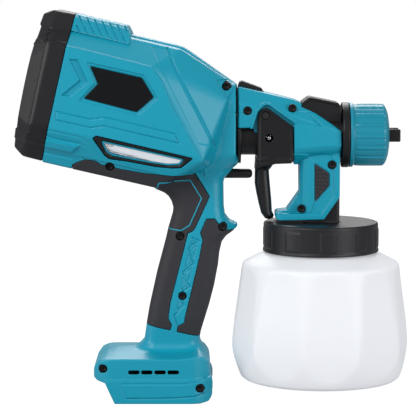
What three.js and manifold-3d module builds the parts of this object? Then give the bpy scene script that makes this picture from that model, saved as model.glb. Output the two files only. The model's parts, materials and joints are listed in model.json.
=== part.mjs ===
// Cordless turbine paint sprayer, built as a scene graph of separate named pieces.
// Millimetres, +Z up, the nozzle points along +X, the parting plane of the housings is Y = 0.
// The root group's origin is the centre of the sprayer's footprint, at the underside of the battery foot.
import * as THREE from "three";
import { ConvexGeometry } from "three/addons/geometries/ConvexGeometry.js";
import { mergeVertices } from "three/addons/utils/BufferGeometryUtils.js";
import Module from "manifold-3d";

const wasm = await Module();
wasm.setup();

// ---------------------------------------------------------------- driving dimensions
const ORIGIN_X = 4.4; // footprint centre, in the construction frame
const TILT = (13 * Math.PI) / 180; // the turbine barrel droops this far towards the nozzle
const BARREL = [-113.35, 241.9]; // centre of the joint between barrel and rear cover
const GAP = 0.3; // clearance between pieces that touch
const SEAM = 0.15; // half of the gap between the two housing halves
const BODY_W = 50; // half width of the turbine barrel
const GRIP_W = 18; // half width of the handle over the rubber
const FOOT_W = 39; // half width of the battery foot
const GUN_W = 24; // half width of the spray head
const POST_W = 17.5; // half width of the cup bracket
const AXIS_Z = 204.7; // height of the nozzle axis
const CUP_X = 88; // centre line of the paint cup
const LID_R = 45.4;
const LID_Z = [114, 137.2];
const PIVOT = [44.1, 220.6]; // trigger pivot
const PLUNGER_Z = 174.6;
const FAN_Q = -3; // turbine axis, measured across the barrel

// ---------------------------------------------------------------- helpers
const cosT = Math.cos(TILT),
  sinT = Math.sin(TILT);
// p runs forward along the barrel, q runs up across it
const L = (p, q) => [BARREL[0] + p * cosT + q * sinT, BARREL[1] - p * sinT + q * cosT];

function solid(geometry) {
  let g = geometry.index ? geometry.toNonIndexed() : geometry.clone();
  for (const k of Object.keys(g.attributes)) if (k !== "position") g.deleteAttribute(k);
  g = mergeVertices(g, 1e-4);
  const make = (tri) =>
    new wasm.Manifold(
      new wasm.Mesh({ numProp: 3, vertProperties: g.attributes.position.array, triVerts: tri }),
    );
  const tri = new Uint32Array(g.index.array);
  let m = make(tri);
  if (m.volume() < 0) {
    for (let i = 0; i < tri.length; i += 3) [tri[i + 1], tri[i + 2]] = [tri[i + 2], tri[i + 1]];
    m = make(tri);
  }
  return m;
}

function geometryOf(m) {
  const mesh = m.getMesh(),
    n = mesh.numProp,
    v = new Float32Array(mesh.numVert * 3);
  for (let i = 0; i < mesh.numVert; i++)
    v.set(mesh.vertProperties.subarray(i * n, i * n + 3), i * 3);
  const g = new THREE.BufferGeometry();
  g.setAttribute("position", new THREE.BufferAttribute(v, 3));
  g.setIndex(new THREE.BufferAttribute(new Uint32Array(mesh.triVerts), 1));
  g.computeVertexNormals();
  return g;
}

// an outline in the X-Z plane, extruded from y0 to y1
function prism(points, y0, y1, chamfer = 0) {
  const shape = new THREE.Shape(points.map(([x, z]) => new THREE.Vector2(x, z)));
  const g = new THREE.ExtrudeGeometry(shape, {
    depth: y1 - y0 - 2 * chamfer,
    steps: 1,
    bevelEnabled: chamfer > 0,
    bevelThickness: chamfer,
    bevelSize: chamfer,
    bevelOffset: -chamfer,
    bevelSegments: 1,
    curveSegments: 6,
  });
  g.rotateX(Math.PI / 2);
  g.translate(0, y1 - chamfer, 0);
  return solid(g);
}

function box(x0, x1, y0, y1, z0, z1) {
  const g = new THREE.BoxGeometry(x1 - x0, y1 - y0, z1 - z0);
  g.translate((x0 + x1) / 2, (y0 + y1) / 2, (z0 + z1) / 2);
  return solid(g);
}

const hull = (pts) => solid(new ConvexGeometry(pts.map((p) => new THREE.Vector3(...p))));

// both sides of a list of [x, z, halfWidth]
const mirrorPts = (list) => list.flatMap(([x, z, y]) => [[x, y, z], [x, -y, z]]);

// a profile of [radius, along] turned about the X axis at height z
function turnX(profile, z, segments = 24) {
  const g = new THREE.LatheGeometry(profile.map(([r, a]) => new THREE.Vector2(r, a)), segments);
  g.rotateZ(-Math.PI / 2);
  g.translate(0, 0, z);
  return solid(g);
}
// the same about a vertical axis at x
function turnZ(profile, x, segments = 24, spin = 0) {
  const g = new THREE.LatheGeometry(profile.map(([r, a]) => new THREE.Vector2(r, a)), segments);
  g.rotateY(spin);
  g.rotateX(Math.PI / 2);
  g.translate(x, 0, 0);
  return solid(g);
}
// the same about an axis along Y through [x, z]
function turnY(profile, [x, z], segments = 16) {
  const g = new THREE.LatheGeometry(profile.map(([r, a]) => new THREE.Vector2(r, a)), segments);
  g.translate(x, 0, z);
  return solid(g);
}
// the same about the turbine axis; "along" is p
function turnP(profile, segments = 24, q = FAN_Q) {
  const g = new THREE.LatheGeometry(profile.map(([r, a]) => new THREE.Vector2(r, a)), segments);
  g.rotateZ(-Math.PI / 2);
  const m = new THREE.Matrix4().makeRotationY(TILT);
  g.applyMatrix4(m);
  const [x, z] = L(0, q);
  g.translate(x, 0, z);
  return solid(g);
}
const rod = (r, a, b) => [[0, a], [r, a], [r, b], [0, b]];
const tube = (ri, ro, a, b) => [[ri, a], [ro, a], [ro, b], [ri, b], [ri, a]];

// moves every edge of an outline inwards by t
function inset(points, t) {
  const n = points.length;
  let area = 0;
  for (let i = 0; i < n; i++) {
    const [a, b] = points[i],
      [c, d] = points[(i + 1) % n];
    area += a * d - b * c;
  }
  const s = area > 0 ? 1 : -1;
  const out = [];
  for (let i = 0; i < n; i++) {
    const p0 = points[(i + n - 1) % n],
      p1 = points[i],
      p2 = points[(i + 1) % n];
    const e1 = [p1[0] - p0[0], p1[1] - p0[1]],
      e2 = [p2[0] - p1[0], p2[1] - p1[1]];
    const l1 = Math.hypot(...e1),
      l2 = Math.hypot(...e2);
    const n1 = [(-e1[1] / l1) * s, (e1[0] / l1) * s],
      n2 = [(-e2[1] / l2) * s, (e2[0] / l2) * s];
    const k = 1 + n1[0] * n2[0] + n1[1] * n2[1];
    out.push([p1[0] + ((n1[0] + n2[0]) * t) / k, p1[1] + ((n1[1] + n2[1]) * t) / k]);
  }
  return out;
}

const LEFT = box(-400, 400, -200, -SEAM, -50, 400); // the half towards -Y
const RIGHT = box(-400, 400, SEAM, 200, -50, 400);

// ---------------------------------------------------------------- materials
const mat = (color, roughness = 0.5, metalness = 0) =>
  new THREE.MeshStandardMaterial({ color, roughness, metalness });
const teal = mat(0x2a9eb9, 0.38);
const tealNut = mat(0x278da5, 0.4);
const black = mat(0x1e1f23, 0.45);
const rubber = mat(0x37383c, 0.8);
const capBlack = mat(0x28292d, 0.5);
const white = mat(0xedf0f5, 0.35);
const steel = mat(0xb9bcc0, 0.3, 1);
const copper = mat(0xb5803a, 0.35, 1);
const foam = mat(0x4a4c50, 0.95);
const board = mat(0x1f5a34, 0.6);
const clear = mat(0xd8dce0, 0.15);
const silicone = mat(0xd9d4c8, 0.6);
const tubeGrey = mat(0xcfd3d6, 0.4);

const root = new THREE.Group();
const sprayer = new THREE.Group();
sprayer.position.set(-ORIGIN_X, 0, 0);
root.add(sprayer);
function add(name, m, material) {
  const mesh = new THREE.Mesh(geometryOf(m), material);
  mesh.name = name;
  sprayer.add(mesh);
  return m;
}

// ---------------------------------------------------------------- turbine housing
// the barrel and its nose as one convex form; t moves every face inwards
function barrelForm(t, rearP) {
  const pts = [
    [...L(rearP, 51.5 - t), 30 - t * 0.6],
    [...L(rearP, 34 - t * 0.4), BODY_W - t],
    [...L(rearP, -29 + t * 0.3), BODY_W - t],
    [...L(rearP, -57.3 + t), 33 - t * 0.7],
    [...L(85 - t * 0.3, 51.5 - t), 28 - t * 0.6],
    [...L(66 - t * 0.4, 33.5 - t * 0.4), BODY_W - t],
    [...L(119 - t, -27 + t * 0.3), BODY_W - 1.5 - t],
    [...L(89.6 - t, -57.3 + t), 31 - t * 0.7],
    [...L(131 - t, 32.3 - t * 1.2), 15 - t * 0.4],
    [...L(127 - t, 21 - t), 30 - t],
    [...L(127.5 - t, -16 + t * 0.5), 33 - t],
    [...L(125.5 - t, -31 + t), 31 - t],
  ];
  return hull(mirrorPts(pts));
}
// raised ribbed pad along the top, also carried over the rear cover
const topPad = (p0, p1, p1b, t = 0) =>
  hull(
    mirrorPts([
      [...L(p0, 58 - t), 26 - t],
      [...L(p0, 45), 38 - t],
      [...L(p1 - t, 58 - t), 26 - t],
      [...L(p1b - t, 45), 37 - t],
    ]),
  );
// the short neck that meets the spray head
function neckForm(t, x1) {
  return hull(
    mirrorPts([
      [x1, 243.4 - t, 15 - t * 0.5],
      [x1, 232 - t * 0.5, 25.5 - t],
      [x1, 190 + t * 0.5, 25.5 - t],
      [x1, 183.2 + t, 19 - t * 0.5],
      [-8, 243.4 - t, 15 - t * 0.5],
      [-8, 232 - t * 0.5, 26 - t],
      [-8, 188 + t * 0.5, 28 - t],
      [-2, 176 + t, 20 - t * 0.5],
    ]),
  );
}
// height, rear x, front x of the handle
const gripSections = [
  [30, -52, -4], [44.6, -49.9, -6.4], [55, -48.3, -4.9], [71.7, -45.5, 0.3], [97, -39.9, 6.3],
  [114.4, -35.4, 8.8], [122.3, -33.4, 10.6], [127.5, -32, 14.4], [132.5, -30.7, 21.9],
  [135.6, -29.8, 23], [138.8, -28.7, 16.4], [142.7, -27.8, 13.3], [149.8, -26.8, 12.3],
  [154, -28.2, 12.1], [159, -31.8, 12.1], [163.1, -39.7, 12], [171.7, -42.5, 12.8], [182.2, -46, 22.3], [190, -50, 22],
];
// octagonal sections joined in pairs; t moves the walls inwards, c is the corner cut
function gripForm(t, c, from = 0, to = gripSections.length) {
  let m = null;
  const ring = ([z, a, b]) =>
    [[a + t, GRIP_W - c], [a + t + c, GRIP_W - t], [b - t - c, GRIP_W - t], [b - t, GRIP_W - c]].flatMap(
      ([x, y]) => [[x, y, z], [x, -y, z]],
    );
  for (let i = from; i < to - 1; i++) {
    const h = hull([...ring(gripSections[i]), ...ring(gripSections[i + 1])]);
    m = m ? m.add(h) : h;
  }
  return m;
}

// battery foot
const footUpper = (t) =>
  hull(
    mirrorPts([
      [-88.8 + t, 19, 33 - t], [-88.8 + t, 24, 33 - t], [-86.5 + t, 30 - t, 29 - t],
      [-80 + t * 0.7, 35 - t, 22 - t], [-69.2, 38.8 - t, 13 - t],
      [-78 + t, 33 - t, 37 - t], [-78 + t, 16, 37.5 - t],
      [-84 + t, 17, 36 - t],
      [-10 - t * 0.5, 35.5 - t, 37 - t], [-10, 38.2 - t, 14 - t],
      [-6 - t, 37.6 - t, 12 - t], [-10 - t * 0.5, 15.5, 37.5 - t],
      [1 - t, 25 - t, 27 - t], [1.8 - t, 15.5, 30 - t], [-2.8 - t * 0.7, 33.4 - t, 18 - t],
    ]),
  );
const footRail = (t) =>
  hull(
    mirrorPts([
      [-79 + t, 15.6, FOOT_W - t], [-71.8 + t, 0, FOOT_W - t], [-12 - t, 0, FOOT_W - t],
      [-2 - t, 2.4, 36 - t], [-8 - t, 15.6, FOOT_W - t], [3.9 - t, 15.6, 34.6 - t],
      [3.9 - t, 7, 34.6 - t], [2.4 - t, 2, 33.6 - t], [2.8 - t, 18.4, 34 - t], [-10 - t, 18, 38 - t],
      [-80 + t, 18, 37 - t],
    ]),
  );

const outer = barrelForm(0, 0)
  .add(topPad(0, 40, 45))
  .add(neckForm(0, 22.3))
  .add(gripForm(0, 6))
  .add(footUpper(0))
  .add(footRail(0));
const core = barrelForm(2, 0)
  .add(neckForm(2, 22.3))
  .add(gripForm(2, 4.5))
  .add(footUpper(2));

// outlines of the rubber overmoulds, seen from the side
const rearPadOutline = [
  [-104.2, 170], [-103.6, 180.3], [-103, 184.4], [-99, 186.4], [-93.3, 188.5], [-85.5, 187.4],
  [-80.9, 184.4], [-66.3, 181], [-47.1, 177.6], [-26.9, 175.9], [-10, 176.5], [1, 158.3],
  [-3.9, 147.1], [-10, 133.9], [-11.6, 131.6], [-15.8, 129.6], [-16.2, 127.7], [-19.3, 115.2],
  [-29.4, 75.3], [-31, 63.2], [-28.3, 58.1], [-29.5, 53.8], [-60, 60], [-60, 120], [-70, 160],
];
const frontPadOutline = [
  [-1.2, 140.5], [5, 140.9], [8.5, 136.2], [12.3, 131.9], [30, 131.6], [30, 60], [5, 46],
  [-6.6, 48.6], [-24.1, 52.6], [-23.3, 56.9], [-18.2, 59.7], [-17.8, 63.6], [-13.6, 80.8],
  [-6.6, 110.5], [-3.9, 124.5], [-5.8, 130],
];
const rearPadPrism = prism(rearPadOutline, -70, 70);
const frontPadPrism = prism(frontPadOutline, -70, 70);
const rearPadCut = prism(inset(rearPadOutline, -GAP), -70, 70);
const frontPadCut = prism(inset(frontPadOutline, -GAP), -70, 70);
const coreCut = barrelForm(2, -1)
  .add(neckForm(2, 30))
  .add(gripForm(2, 5))
  .add(footUpper(2));

// the hollow inside the two halves
const duct = turnX(rod(19, -12, 30), AXIS_Z, 24);
let inner = barrelForm(4.5, -6)
  .add(hull(mirrorPts([
    [18.8, 238.5, 11], [18.8, 230, 21.5], [18.8, 192, 21.5], [18.8, 187.5, 16],
    [-12, 236, 11], [-12, 230, 21.5], [-12, 190, 23], [-4, 182, 15],
  ])))
  .add(gripForm(4.8, 7, 0, gripSections.length - 1))
  .add(duct);
// pocket for the battery: open underneath and towards the nozzle
const slot = box(-70, 20, -32.2, 32.2, 3.2, 17.5)
  .add(box(-66, 20, -29.5, 29.5, -5, 4))
  .add(box(-66, -12, -31, 31, 17, 31.5));

// cradle ribs that hold the motor
const motorRibs = [44, 74].map((p) => {
  const ring = turnP([[22.7, p], [60, p], [60, p + 2.4], [22.7, p + 2.4], [22.7, p]], 24);
  return ring
    .intersect(barrelForm(3.2, -6))
    .subtract(turnP(tube(29, 41, p - 1, p + 4), 24));
});

const bodyScrews = [
  // x, z, outer face, seat depth, shank end
  [13.9, 243.2, -19.5, 3, 12],
  [-74.5, 183.2, -38, 6, 12],
  [-21.6, 127.5, -18, 3.2, 12],
  [-19.8, 80.7, -16.3, 2, 12],
  [11.2, 134.8, -18, 3.2, 12],
  [-80.5, 27.1, -35.6, 4, 12],
];
const bossOf = ([x, z, face, , end]) => turnY(rod(4.8, face + 4.5, end + 4), [x, z], 8);
const wellOf = ([x, z, face, seat, end]) =>
  turnY([[0, -80], [3.3, -80], [3.3, face + seat + 0.2], [1.7, face + seat + 0.2], [1.7, end + 0.6], [0, end + 0.6]], [x, z], 8);

let shell = outer
  .subtract(rearPadCut.subtract(coreCut))
  .subtract(frontPadCut.subtract(coreCut))
  .subtract(inner)
  .subtract(slot);
for (const r of motorRibs) shell = shell.add(r);
for (const s of bodyScrews) shell = shell.add(bossOf(s).intersect(core));
for (const s of bodyScrews) shell = shell.subtract(wellOf(s));
// the short screw in the foot's side wall
const railScrew = [-6.3, 12.1, -37.6, 2.6, -33.4];
shell = shell.subtract(wellOf(railScrew));
// plunger guide through the handle's front wall
shell = shell.subtract(turnX(rod(4.1, 0, 40), PLUNGER_Z, 16));
// cooling vents of the foot, one row on each side
for (const x0 of [-61.3, -51.4, -41.2, -31.1])
  shell = shell.subtract(box(x0, x0 + 8.8, -60, 60, 22.9, 26));
// seats for the side windows
const windowOutline = [
  L(34.2, -29.5), L(36.5, -27.2), L(110.3, -27.4), L(109.8, -29), L(104, -36.6), L(98.1, -38.4),
  L(85, -40.3), L(62.6, -41.2), L(49.2, -42.4), L(45.6, -40.6),
];
const lensOutline = [
  L(42.5, -30.8), L(103.4, -30.6), L(101.6, -34), L(93.4, -36.4), L(79.1, -37.6), L(62.3, -38.2),
  L(51.5, -38.6), L(46.6, -36.8),
];
const windowSkin = (t0, t1) => barrelForm(t0, -1).subtract(barrelForm(t1, -2));
shell = shell.subtract(prism(inset(windowOutline, -GAP), -70, 70).intersect(windowSkin(-1, 2.2)));
// seats for the badges
const badgeOutline = [L(20.4, 23.2), L(60.2, 23.4), L(72, 10.9), L(62, -2.8), L(21, -1.7), L(28.9, 11.2)];
const badgePlate = (y0, y1, o) => prism(o ? inset(badgeOutline, -o) : badgeOutline, y0, y1);
shell = shell.subtract(badgePlate(-60, -BODY_W + 1, GAP)).subtract(badgePlate(BODY_W - 1, 60, GAP));
// room for the release button's tail is in the spray head, so the neck stays whole

add("left_housing", shell.intersect(LEFT).decompose().sort((a, b) => b.volume() - a.volume())[0], teal);
add("right_housing", shell.intersect(RIGHT).decompose().sort((a, b) => b.volume() - a.volume())[0], teal);

// rubber overmoulds
const skin = outer
  .subtract(barrelForm(1.7, -1))
  .subtract(neckForm(1.7, 30))
  .subtract(gripForm(1.7, 5))
  .subtract(footUpper(1.7));
const wells = bodyScrews.map((s) => turnY(rod(3.6, -80, s[2] + 12), [s[0], s[1]], 12));
function pad(name, region, side) {
  let m = skin.intersect(region).intersect(side);
  for (const w of wells) m = m.subtract(w);
  m = m.decompose().sort((a, b) => b.volume() - a.volume())[0];
  add(name, m, rubber);
}
pad("left_rear_grip", rearPadPrism, LEFT);
pad("right_rear_grip", rearPadPrism, RIGHT);
pad("left_front_grip", frontPadPrism, LEFT);
pad("right_front_grip", frontPadPrism, RIGHT);

// side windows: a black frame and a bright lens on each side
const frameRing = prism(windowOutline, -70, 70).subtract(prism(inset(lensOutline, -0.3), -70, 70));
const frameSkin = windowSkin(-0.6, 1.9);
const lensSkin = windowSkin(0.4, 1.9);
const lensPrism = prism(lensOutline, -70, 70);
for (const [side, half] of [["left", LEFT], ["right", RIGHT]]) {
  const big = (m) => m.decompose().sort((a, b) => b.volume() - a.volume())[0];
  add(side + "_window_frame", big(frameRing.intersect(frameSkin).intersect(half)), black);
  add(side + "_window_lens", big(lensPrism.intersect(lensSkin).intersect(half)), clear);
}
add("left_badge", badgePlate(-BODY_W - 0.15, -BODY_W + 0.7), black);
add("right_badge", badgePlate(BODY_W - 0.7, BODY_W + 0.15), black);

// ---------------------------------------------------------------- rear cover and filter
function coverForm(t, p0, p1) {
  return hull(
    mirrorPts([
      [...L(p1, 51.5 - t), 30 - t * 0.6], [...L(p1, 34 - t * 0.4), BODY_W - t],
      [...L(p1, -29 + t * 0.3), BODY_W - t], [...L(p1, -57.3 + t), 33 - t * 0.7],
      [...L(p1, 58 - t), 26 - t], [...L(p1, 45 - t * 0.3), 38 - t],
      [...L(-16.6, 57.6 - t), 26 - t], [...L(-15, 36 - t * 0.4), BODY_W - t],
      [...L(-15, -31 + t * 0.3), BODY_W - t], [...L(-16, -57 + t), 32 - t * 0.7],
      [...L(p0 + 2.6, 52.6 - t), 23 - t], [...L(p0 + 0.8, 31 - t * 0.4), 39 - t],
      [...L(p0, 18), 40 - t], [...L(p0 + 0.6, -27 + t * 0.3), 40 - t],
      [...L(p0 + 2.5, -51.6 + t), 28 - t * 0.7],
    ]),
  );
}
let cover = coverForm(0, -26.8, -GAP).subtract(coverForm(2.4, -24.2, 5));
// air slots in the rear face
for (let i = -4; i <= 4; i++) {
  const y = i * 7.2;
  const q = 38 - Math.abs(i) * 3.2;
  const [xa, za] = L(-30, q),
    [xb, zb] = L(-20, q),
    [xc, zc] = L(-20, -q - 4),
    [xd, zd] = L(-30, -q - 4);
  cover = cover.subtract(prism([[xa, za], [xb, zb], [xc, zc], [xd, zd]], y - 1.7, y + 1.7));
}
add("rear_cover", cover, capBlack);
add(
  "air_filter",
  hull(
    mirrorPts(
      [[-21.6, 44, 22], [-21.6, 28, 34.5], [-21.6, -24, 34.5], [-21.6, -47, 22],
       [-9.5, 46, 23], [-9.5, 30, 43.5], [-9.5, -26, 43.5], [-9.5, -50, 24]].map(([p, q, y]) => [...L(p, q), y]),
    ),
  ),
  foam,
);

// ---------------------------------------------------------------- turbine
add(
  "turbine_shroud",
  turnP([[17, 2], [43.2, 2], [43.2, 31.5], [24, 31.5], [24, 29.5], [41.2, 29.5], [41.2, 4], [17, 4], [17, 2]], 28)
    .subtract(turnP(tube(30, 38, 28, 33), 28).subtract(box(-400, 400, -3, 3, -50, 400))),
  black,
);
let fan = turnP([[2.9, 7], [8, 7], [8, 22], [39, 24], [39, 26], [2.9, 26], [2.9, 7]], 28);
for (let i = 0; i < 9; i++) {
  const g = new THREE.BoxGeometry(15.5, 31.4, 1.6);
  g.translate(16.0, 23.0, 0);
  g.rotateX((i / 9) * Math.PI * 2);
  const m = new THREE.Matrix4().makeRotationY(TILT);
  g.applyMatrix4(m);
  const [x, z] = L(0, FAN_Q);
  g.translate(x, 0, z);
  fan = fan.add(solid(g));
}
add("fan_impeller", fan.subtract(turnP(rod(2.9, 0, 40), 16)), tubeGrey);
add("motor_shaft", turnP(rod(2.5, 5, 92), 12), steel);
add(
  "motor_can",
  turnP([[2.9, 33.5], [7, 33.5], [7, 35.5], [22.3, 35.5], [22.3, 86], [8, 86], [8, 89], [2.9, 89], [2.9, 33.5]], 24),
  steel,
);
add("motor_mount_ring", turnP(tube(22.7, 28.5, 80.5, 84.5), 24), rubber);
add("outlet_duct", turnX([[16.1, -9], [18.7, -9], [18.7, 21.8], [16.1, 21.8], [16.1, -9]], AXIS_Z, 24), black);

// ---------------------------------------------------------------- switch, board and terminals
add("trigger_switch", prism([[-20, 163], [-6.8, 163], [-6.8, 181], [-20, 181]], -8, 8, 0.8), black);
add("control_board", prism([[-32.5, 88], [-30.9, 88], [-24.5, 118], [-26.1, 118]], -9, 9), board);
add(
  "terminal_block",
  box(-58, -22, -15, 15, 19, 31).add(box(-58, -48, -22, 22, 19, 31)).subtract(box(-50, -21, -9.6, -7.4, 10, 27)).subtract(box(-50, -21, 7.4, 9.6, 10, 27)),
  black,
);
for (const [name, y] of [["contact_positive", -8.5], ["contact_negative", 8.5]])
  add(name, box(-49, -22, y - 0.5, y + 0.5, 9, 26.6), copper);

// plunger that the trigger pushes, with its spring
add("switch_plunger", turnX([[0, 0.5], [3.7, 0.5], [3.7, 31], [3.2, 33], [1.8, 34.2], [0, 34.5]], PLUNGER_Z, 16), black);
function spring(name, r, wire, x0, x1, turns, material, z) {
  class Coil extends THREE.Curve {
    getPoint(t, v = new THREE.Vector3()) {
      const a = t * turns * Math.PI * 2;
      return v.set(x0 + (x1 - x0) * t, r * Math.cos(a), z + r * Math.sin(a));
    }
  }
  const s = new THREE.Shape();
  for (let i = 0; i < 5; i++) {
    const a = (i / 5) * Math.PI * 2;
    i ? s.lineTo(wire * Math.cos(a), wire * Math.sin(a)) : s.moveTo(wire, 0);
  }
  s.closePath();
  add(name, solid(new THREE.ExtrudeGeometry(s, { steps: turns * 8, extrudePath: new Coil() })), material);
}
spring("plunger_spring", 2.6, 0.4, -5.9, -0.3, 3, steel, PLUNGER_Z);

// ---------------------------------------------------------------- spray head
// barrel: spigot, flange, trigger section, fluid body, ring and nut thread
let gunBarrel = turnX(
  [
    [12.5, 8], [15.4, 8], [15.4, 22.7], [22, 22.7], [22, 25.5], [15.5, 25.5], [15.5, 66.5],
    [17, 66.5], [17, 103.4], [25.3, 103.4], [25.3, 109], [21, 109], [21, 126], [16.5, 126],
    [16.5, 120], [9, 120], [9, 124], [3.2, 124], [3.2, 70], [12.5, 70], [12.5, 8],
  ],
  AXIS_Z,
  28,
);
// air passages through the fluid body
for (let i = 0; i < 4; i++) {
  const a = Math.PI / 4 + (i * Math.PI) / 2;
  const g = new THREE.CylinderGeometry(2.4, 2.4, 56, 8);
  g.rotateZ(Math.PI / 2);
  g.translate(96, 12.6 * Math.cos(a), AXIS_Z + 12.6 * Math.sin(a));
  gunBarrel = gunBarrel.subtract(solid(g));
}
gunBarrel = gunBarrel
  .subtract(turnZ(rod(4, 180, AXIS_Z - 1), CUP_X, 12)) // fluid way up from the cup
  .subtract(box(40.5, 50, -30, 30, AXIS_Z - 4, AXIS_Z + 1.8)) // slots for the needle's cross pin
  .subtract(turnY(rod(2.4, -30, 30), PIVOT, 12)); // groove under the pivot pin
// needle guide in the trigger section
gunBarrel = gunBarrel.add(turnX(tube(1.9, 5.2, 64, 72), AXIS_Z, 12));
// spider that carries the spring's rear end and lets the air past
gunBarrel = gunBarrel.add(
  turnX(tube(1.9, 5.2, 22, 25.5), AXIS_Z, 12)
    .add(box(22, 25.5, -14, 14, AXIS_Z - 0.9, AXIS_Z + 0.9).subtract(turnX(rod(4, 20, 30), AXIS_Z, 12)))
    .add(box(22, 25.5, -0.9, 0.9, AXIS_Z - 14, AXIS_Z + 14).subtract(turnX(rod(4, 20, 30), AXIS_Z, 12))),
);
add("gun_barrel", gunBarrel, black);

// shells
const headOutline = [
  [22.8, 243.2], [43, 238.6], [66, 233.2], [70.6, 231.3], [102.6, 209], [103.1, 186.3], [101.4, 182],
  [66.4, 182], [66.3, 184.2], [65.9, 215.2], [47.5, 228.4], [44.3, 229.3], [41.1, 227.7],
  [38, 223.8], [35, 214.7], [33.5, 211.6], [22.8, 211.3],
];
const postOutline = [
  [70.4, 190], [70.7, 160.9], [60.9, 147], [54, 146.2], [52.1, 144.6], [52.1, 141.2], [54.8, 139.4],
  [89.5, 140.2], [101.7, 157.8], [101.6, 190],
];
// the part of the shells behind the trigger's cheeks
const trunnion = prism([[34, 212], [38, 226], [44, 231], [66, 218], [66.2, 208], [56, 207.5], [36, 207.5]], -17.6, 17.6);
let head = prism(headOutline, -GUN_W, GUN_W, 0)
  .intersect(
    turnX(rod(31, 10, 120), AXIS_Z + 5, 32).add(hull(mirrorPts([
      [22.8, 243.4, 15], [22.8, 232, 25.2], [22.8, 205, 25.2], [66, 233.4, 14], [66, 222, 24.2], [66, 205, 24.2],
      [103.2, 209.2, 20], [103.2, 190, 20], [70.6, 231.5, 13],
    ]))),
  )
  .intersect(hull(mirrorPts([
    [22.8, 243.4, 14], [22.8, 231, 25], [22.8, 190, 25], [22.8, 181, 12],
    [66, 233.4, 13], [66, 221, 24], [66, 194, 23], [66, 182, 9], [103.2, 209.2, 21.5], [103.2, 194, 22.5],
    [103.2, 182, 9], [70.6, 231.5, 13],
  ])))
  .add(trunnion.intersect(hull(mirrorPts([[20, 243.4, 14], [20, 225, 17.5], [20, 200, 17.5], [70, 232, 14], [70, 222, 17.5], [70, 200, 17.5]]))));
const post = prism(postOutline, -POST_W, POST_W, 1.5);
let gunShell = head
  .add(post)
  .subtract(turnX(rod(15.8, 20, 110), AXIS_Z, 28))
  .subtract(turnX(rod(17.3, 66, 110), AXIS_Z, 28))
  .subtract(turnX(rod(22.4, 20, 25.8), AXIS_Z, 28))
  .subtract(box(74.7, 103, -14, 14, 136, 190)) // room for the cup's neck
  .subtract(prism([[30, 221.8], [30, 236], [64, 228], [64, 221.8]], -10, 10)) // hollow over the barrel
  .subtract(box(71.8, 110, -15.3, 15.3, AXIS_Z, 245)); // hood seat
const gunScrews = [
  [30.2, 224.6, -25.1, 3.6, 14],
  [64.6, 226.6, -22.6, 3.2, 14],
  [95.6, 182.6, -17.4, 2.4, 15],
  [71.9, 148.7, -17.4, 2.4, 12],
];
// recesses on both sides for the textured inlays
const inlayOutline = [[82.3, 183.6], [91.9, 177.4], [93.1, 175.7], [93.1, 166.4], [82.5, 154.2]];
gunShell = gunShell
  .subtract(prism(inset(inlayOutline, -GAP), -30, -POST_W + 1.6))
  .subtract(prism(inset(inlayOutline, -GAP), POST_W - 1.6, 30));
// release button pocket: a slot square to the top face
const TOP_A = Math.atan2(243.2 - 238.6, 43 - 22.8);
const TN = [Math.sin(TOP_A), Math.cos(TOP_A)];
const onTop = (s, h) => [22.8 + s * Math.cos(TOP_A) + h * TN[0], 243.2 - s * Math.sin(TOP_A) + h * TN[1]];
gunShell = gunShell.subtract(prism([onTop(-3, 3), onTop(21, 3), onTop(21, -4), onTop(2.2, -4), onTop(-3, -4)], -8.4, 8.4));
for (const s of gunScrews) gunShell = gunShell.subtract(wellOf(s));
gunShell = gunShell.subtract(turnY(rod(2.3, -18.5, 18.5), PIVOT, 12));
const biggest = (m) => m.decompose().sort((a, b) => b.volume() - a.volume())[0];
add("left_gun_shell", biggest(gunShell.intersect(LEFT)), teal);
add("right_gun_shell", biggest(gunShell.intersect(RIGHT)), teal);
add("left_inlay", prism(inlayOutline, -POST_W - 0.2, -POST_W + 1.3), rubber);
add("right_inlay", prism(inlayOutline, POST_W - 1.3, POST_W + 0.2), rubber);
add(
  "nozzle_hood",
  prism([[72.2, 230.4], [77.4, 234.3], [79.3, 234.5], [100.1, 230.2], [102.8, 227], [102.8, 208], [72.2, 208]], -15, 15, 1.6)
    .subtract(turnX(rod(17.35, 60, 110), AXIS_Z, 28)),
  black,
);
add(
  "release_button",
  prism([onTop(0.3, 0.4), onTop(0.6, 3.4), onTop(2.4, 4.4), onTop(18.6, 2.4), onTop(20.4, 0.6), onTop(20.4, -0.9), onTop(2.6, -0.9), onTop(0.3, -0.4)], -8, 8, 0.8),
  capBlack,
);

// trigger: two cheeks, a bridge under the barrel and a two-finger lever
const cheekOutline = [
  [37.6, 214.4], [38.7, 222.4], [41.4, 225.6], [44.4, 226.8], [47.3, 225.6], [65.4, 212.2],
  [65.6, 186.6], [63.7, 184.4], [52.2, 184], [46.8, 183], [37.6, 180.5],
];
const leverOutline = [
  [52.7, 184], [48.9, 180.7], [47.3, 177.6], [47.7, 171.4], [49.3, 154.2], [49.8, 145.6], [51.3, 142.1],
  [50.6, 140.2], [47.5, 139], [44.3, 139.8], [41.2, 144.1], [39.2, 151.9], [37.7, 158.9], [36.3, 166.7],
  [36.5, 177.6], [37.6, 186.2], [46, 187],
];
let trigger = prism(cheekOutline, -21, -18)
  .add(prism(cheekOutline, 18, 21))
  .add(prism([[44, 187.2], [64, 187.2], [63.7, 184.4], [52.2, 184], [42, 183], [41, 186]], -21, 21))
  .add(prism(leverOutline, -9.5, 9.5))
  .add(prism([[37.8, 181], [37.8, 186.6], [47, 186.6], [52, 184], [47, 182]], -18.5, 18.5))
  .subtract(turnY(rod(2.4, -30, 30), PIVOT, 12))
  .subtract(turnY(rod(3.2, -30, -19.6), PIVOT, 12))
  .subtract(turnY(rod(3.2, 19.6, 30), PIVOT, 12))
  .subtract(turnY(rod(3.1, -30, 30), [46.9, 203.4], 12));
add("trigger", trigger, black);
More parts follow.
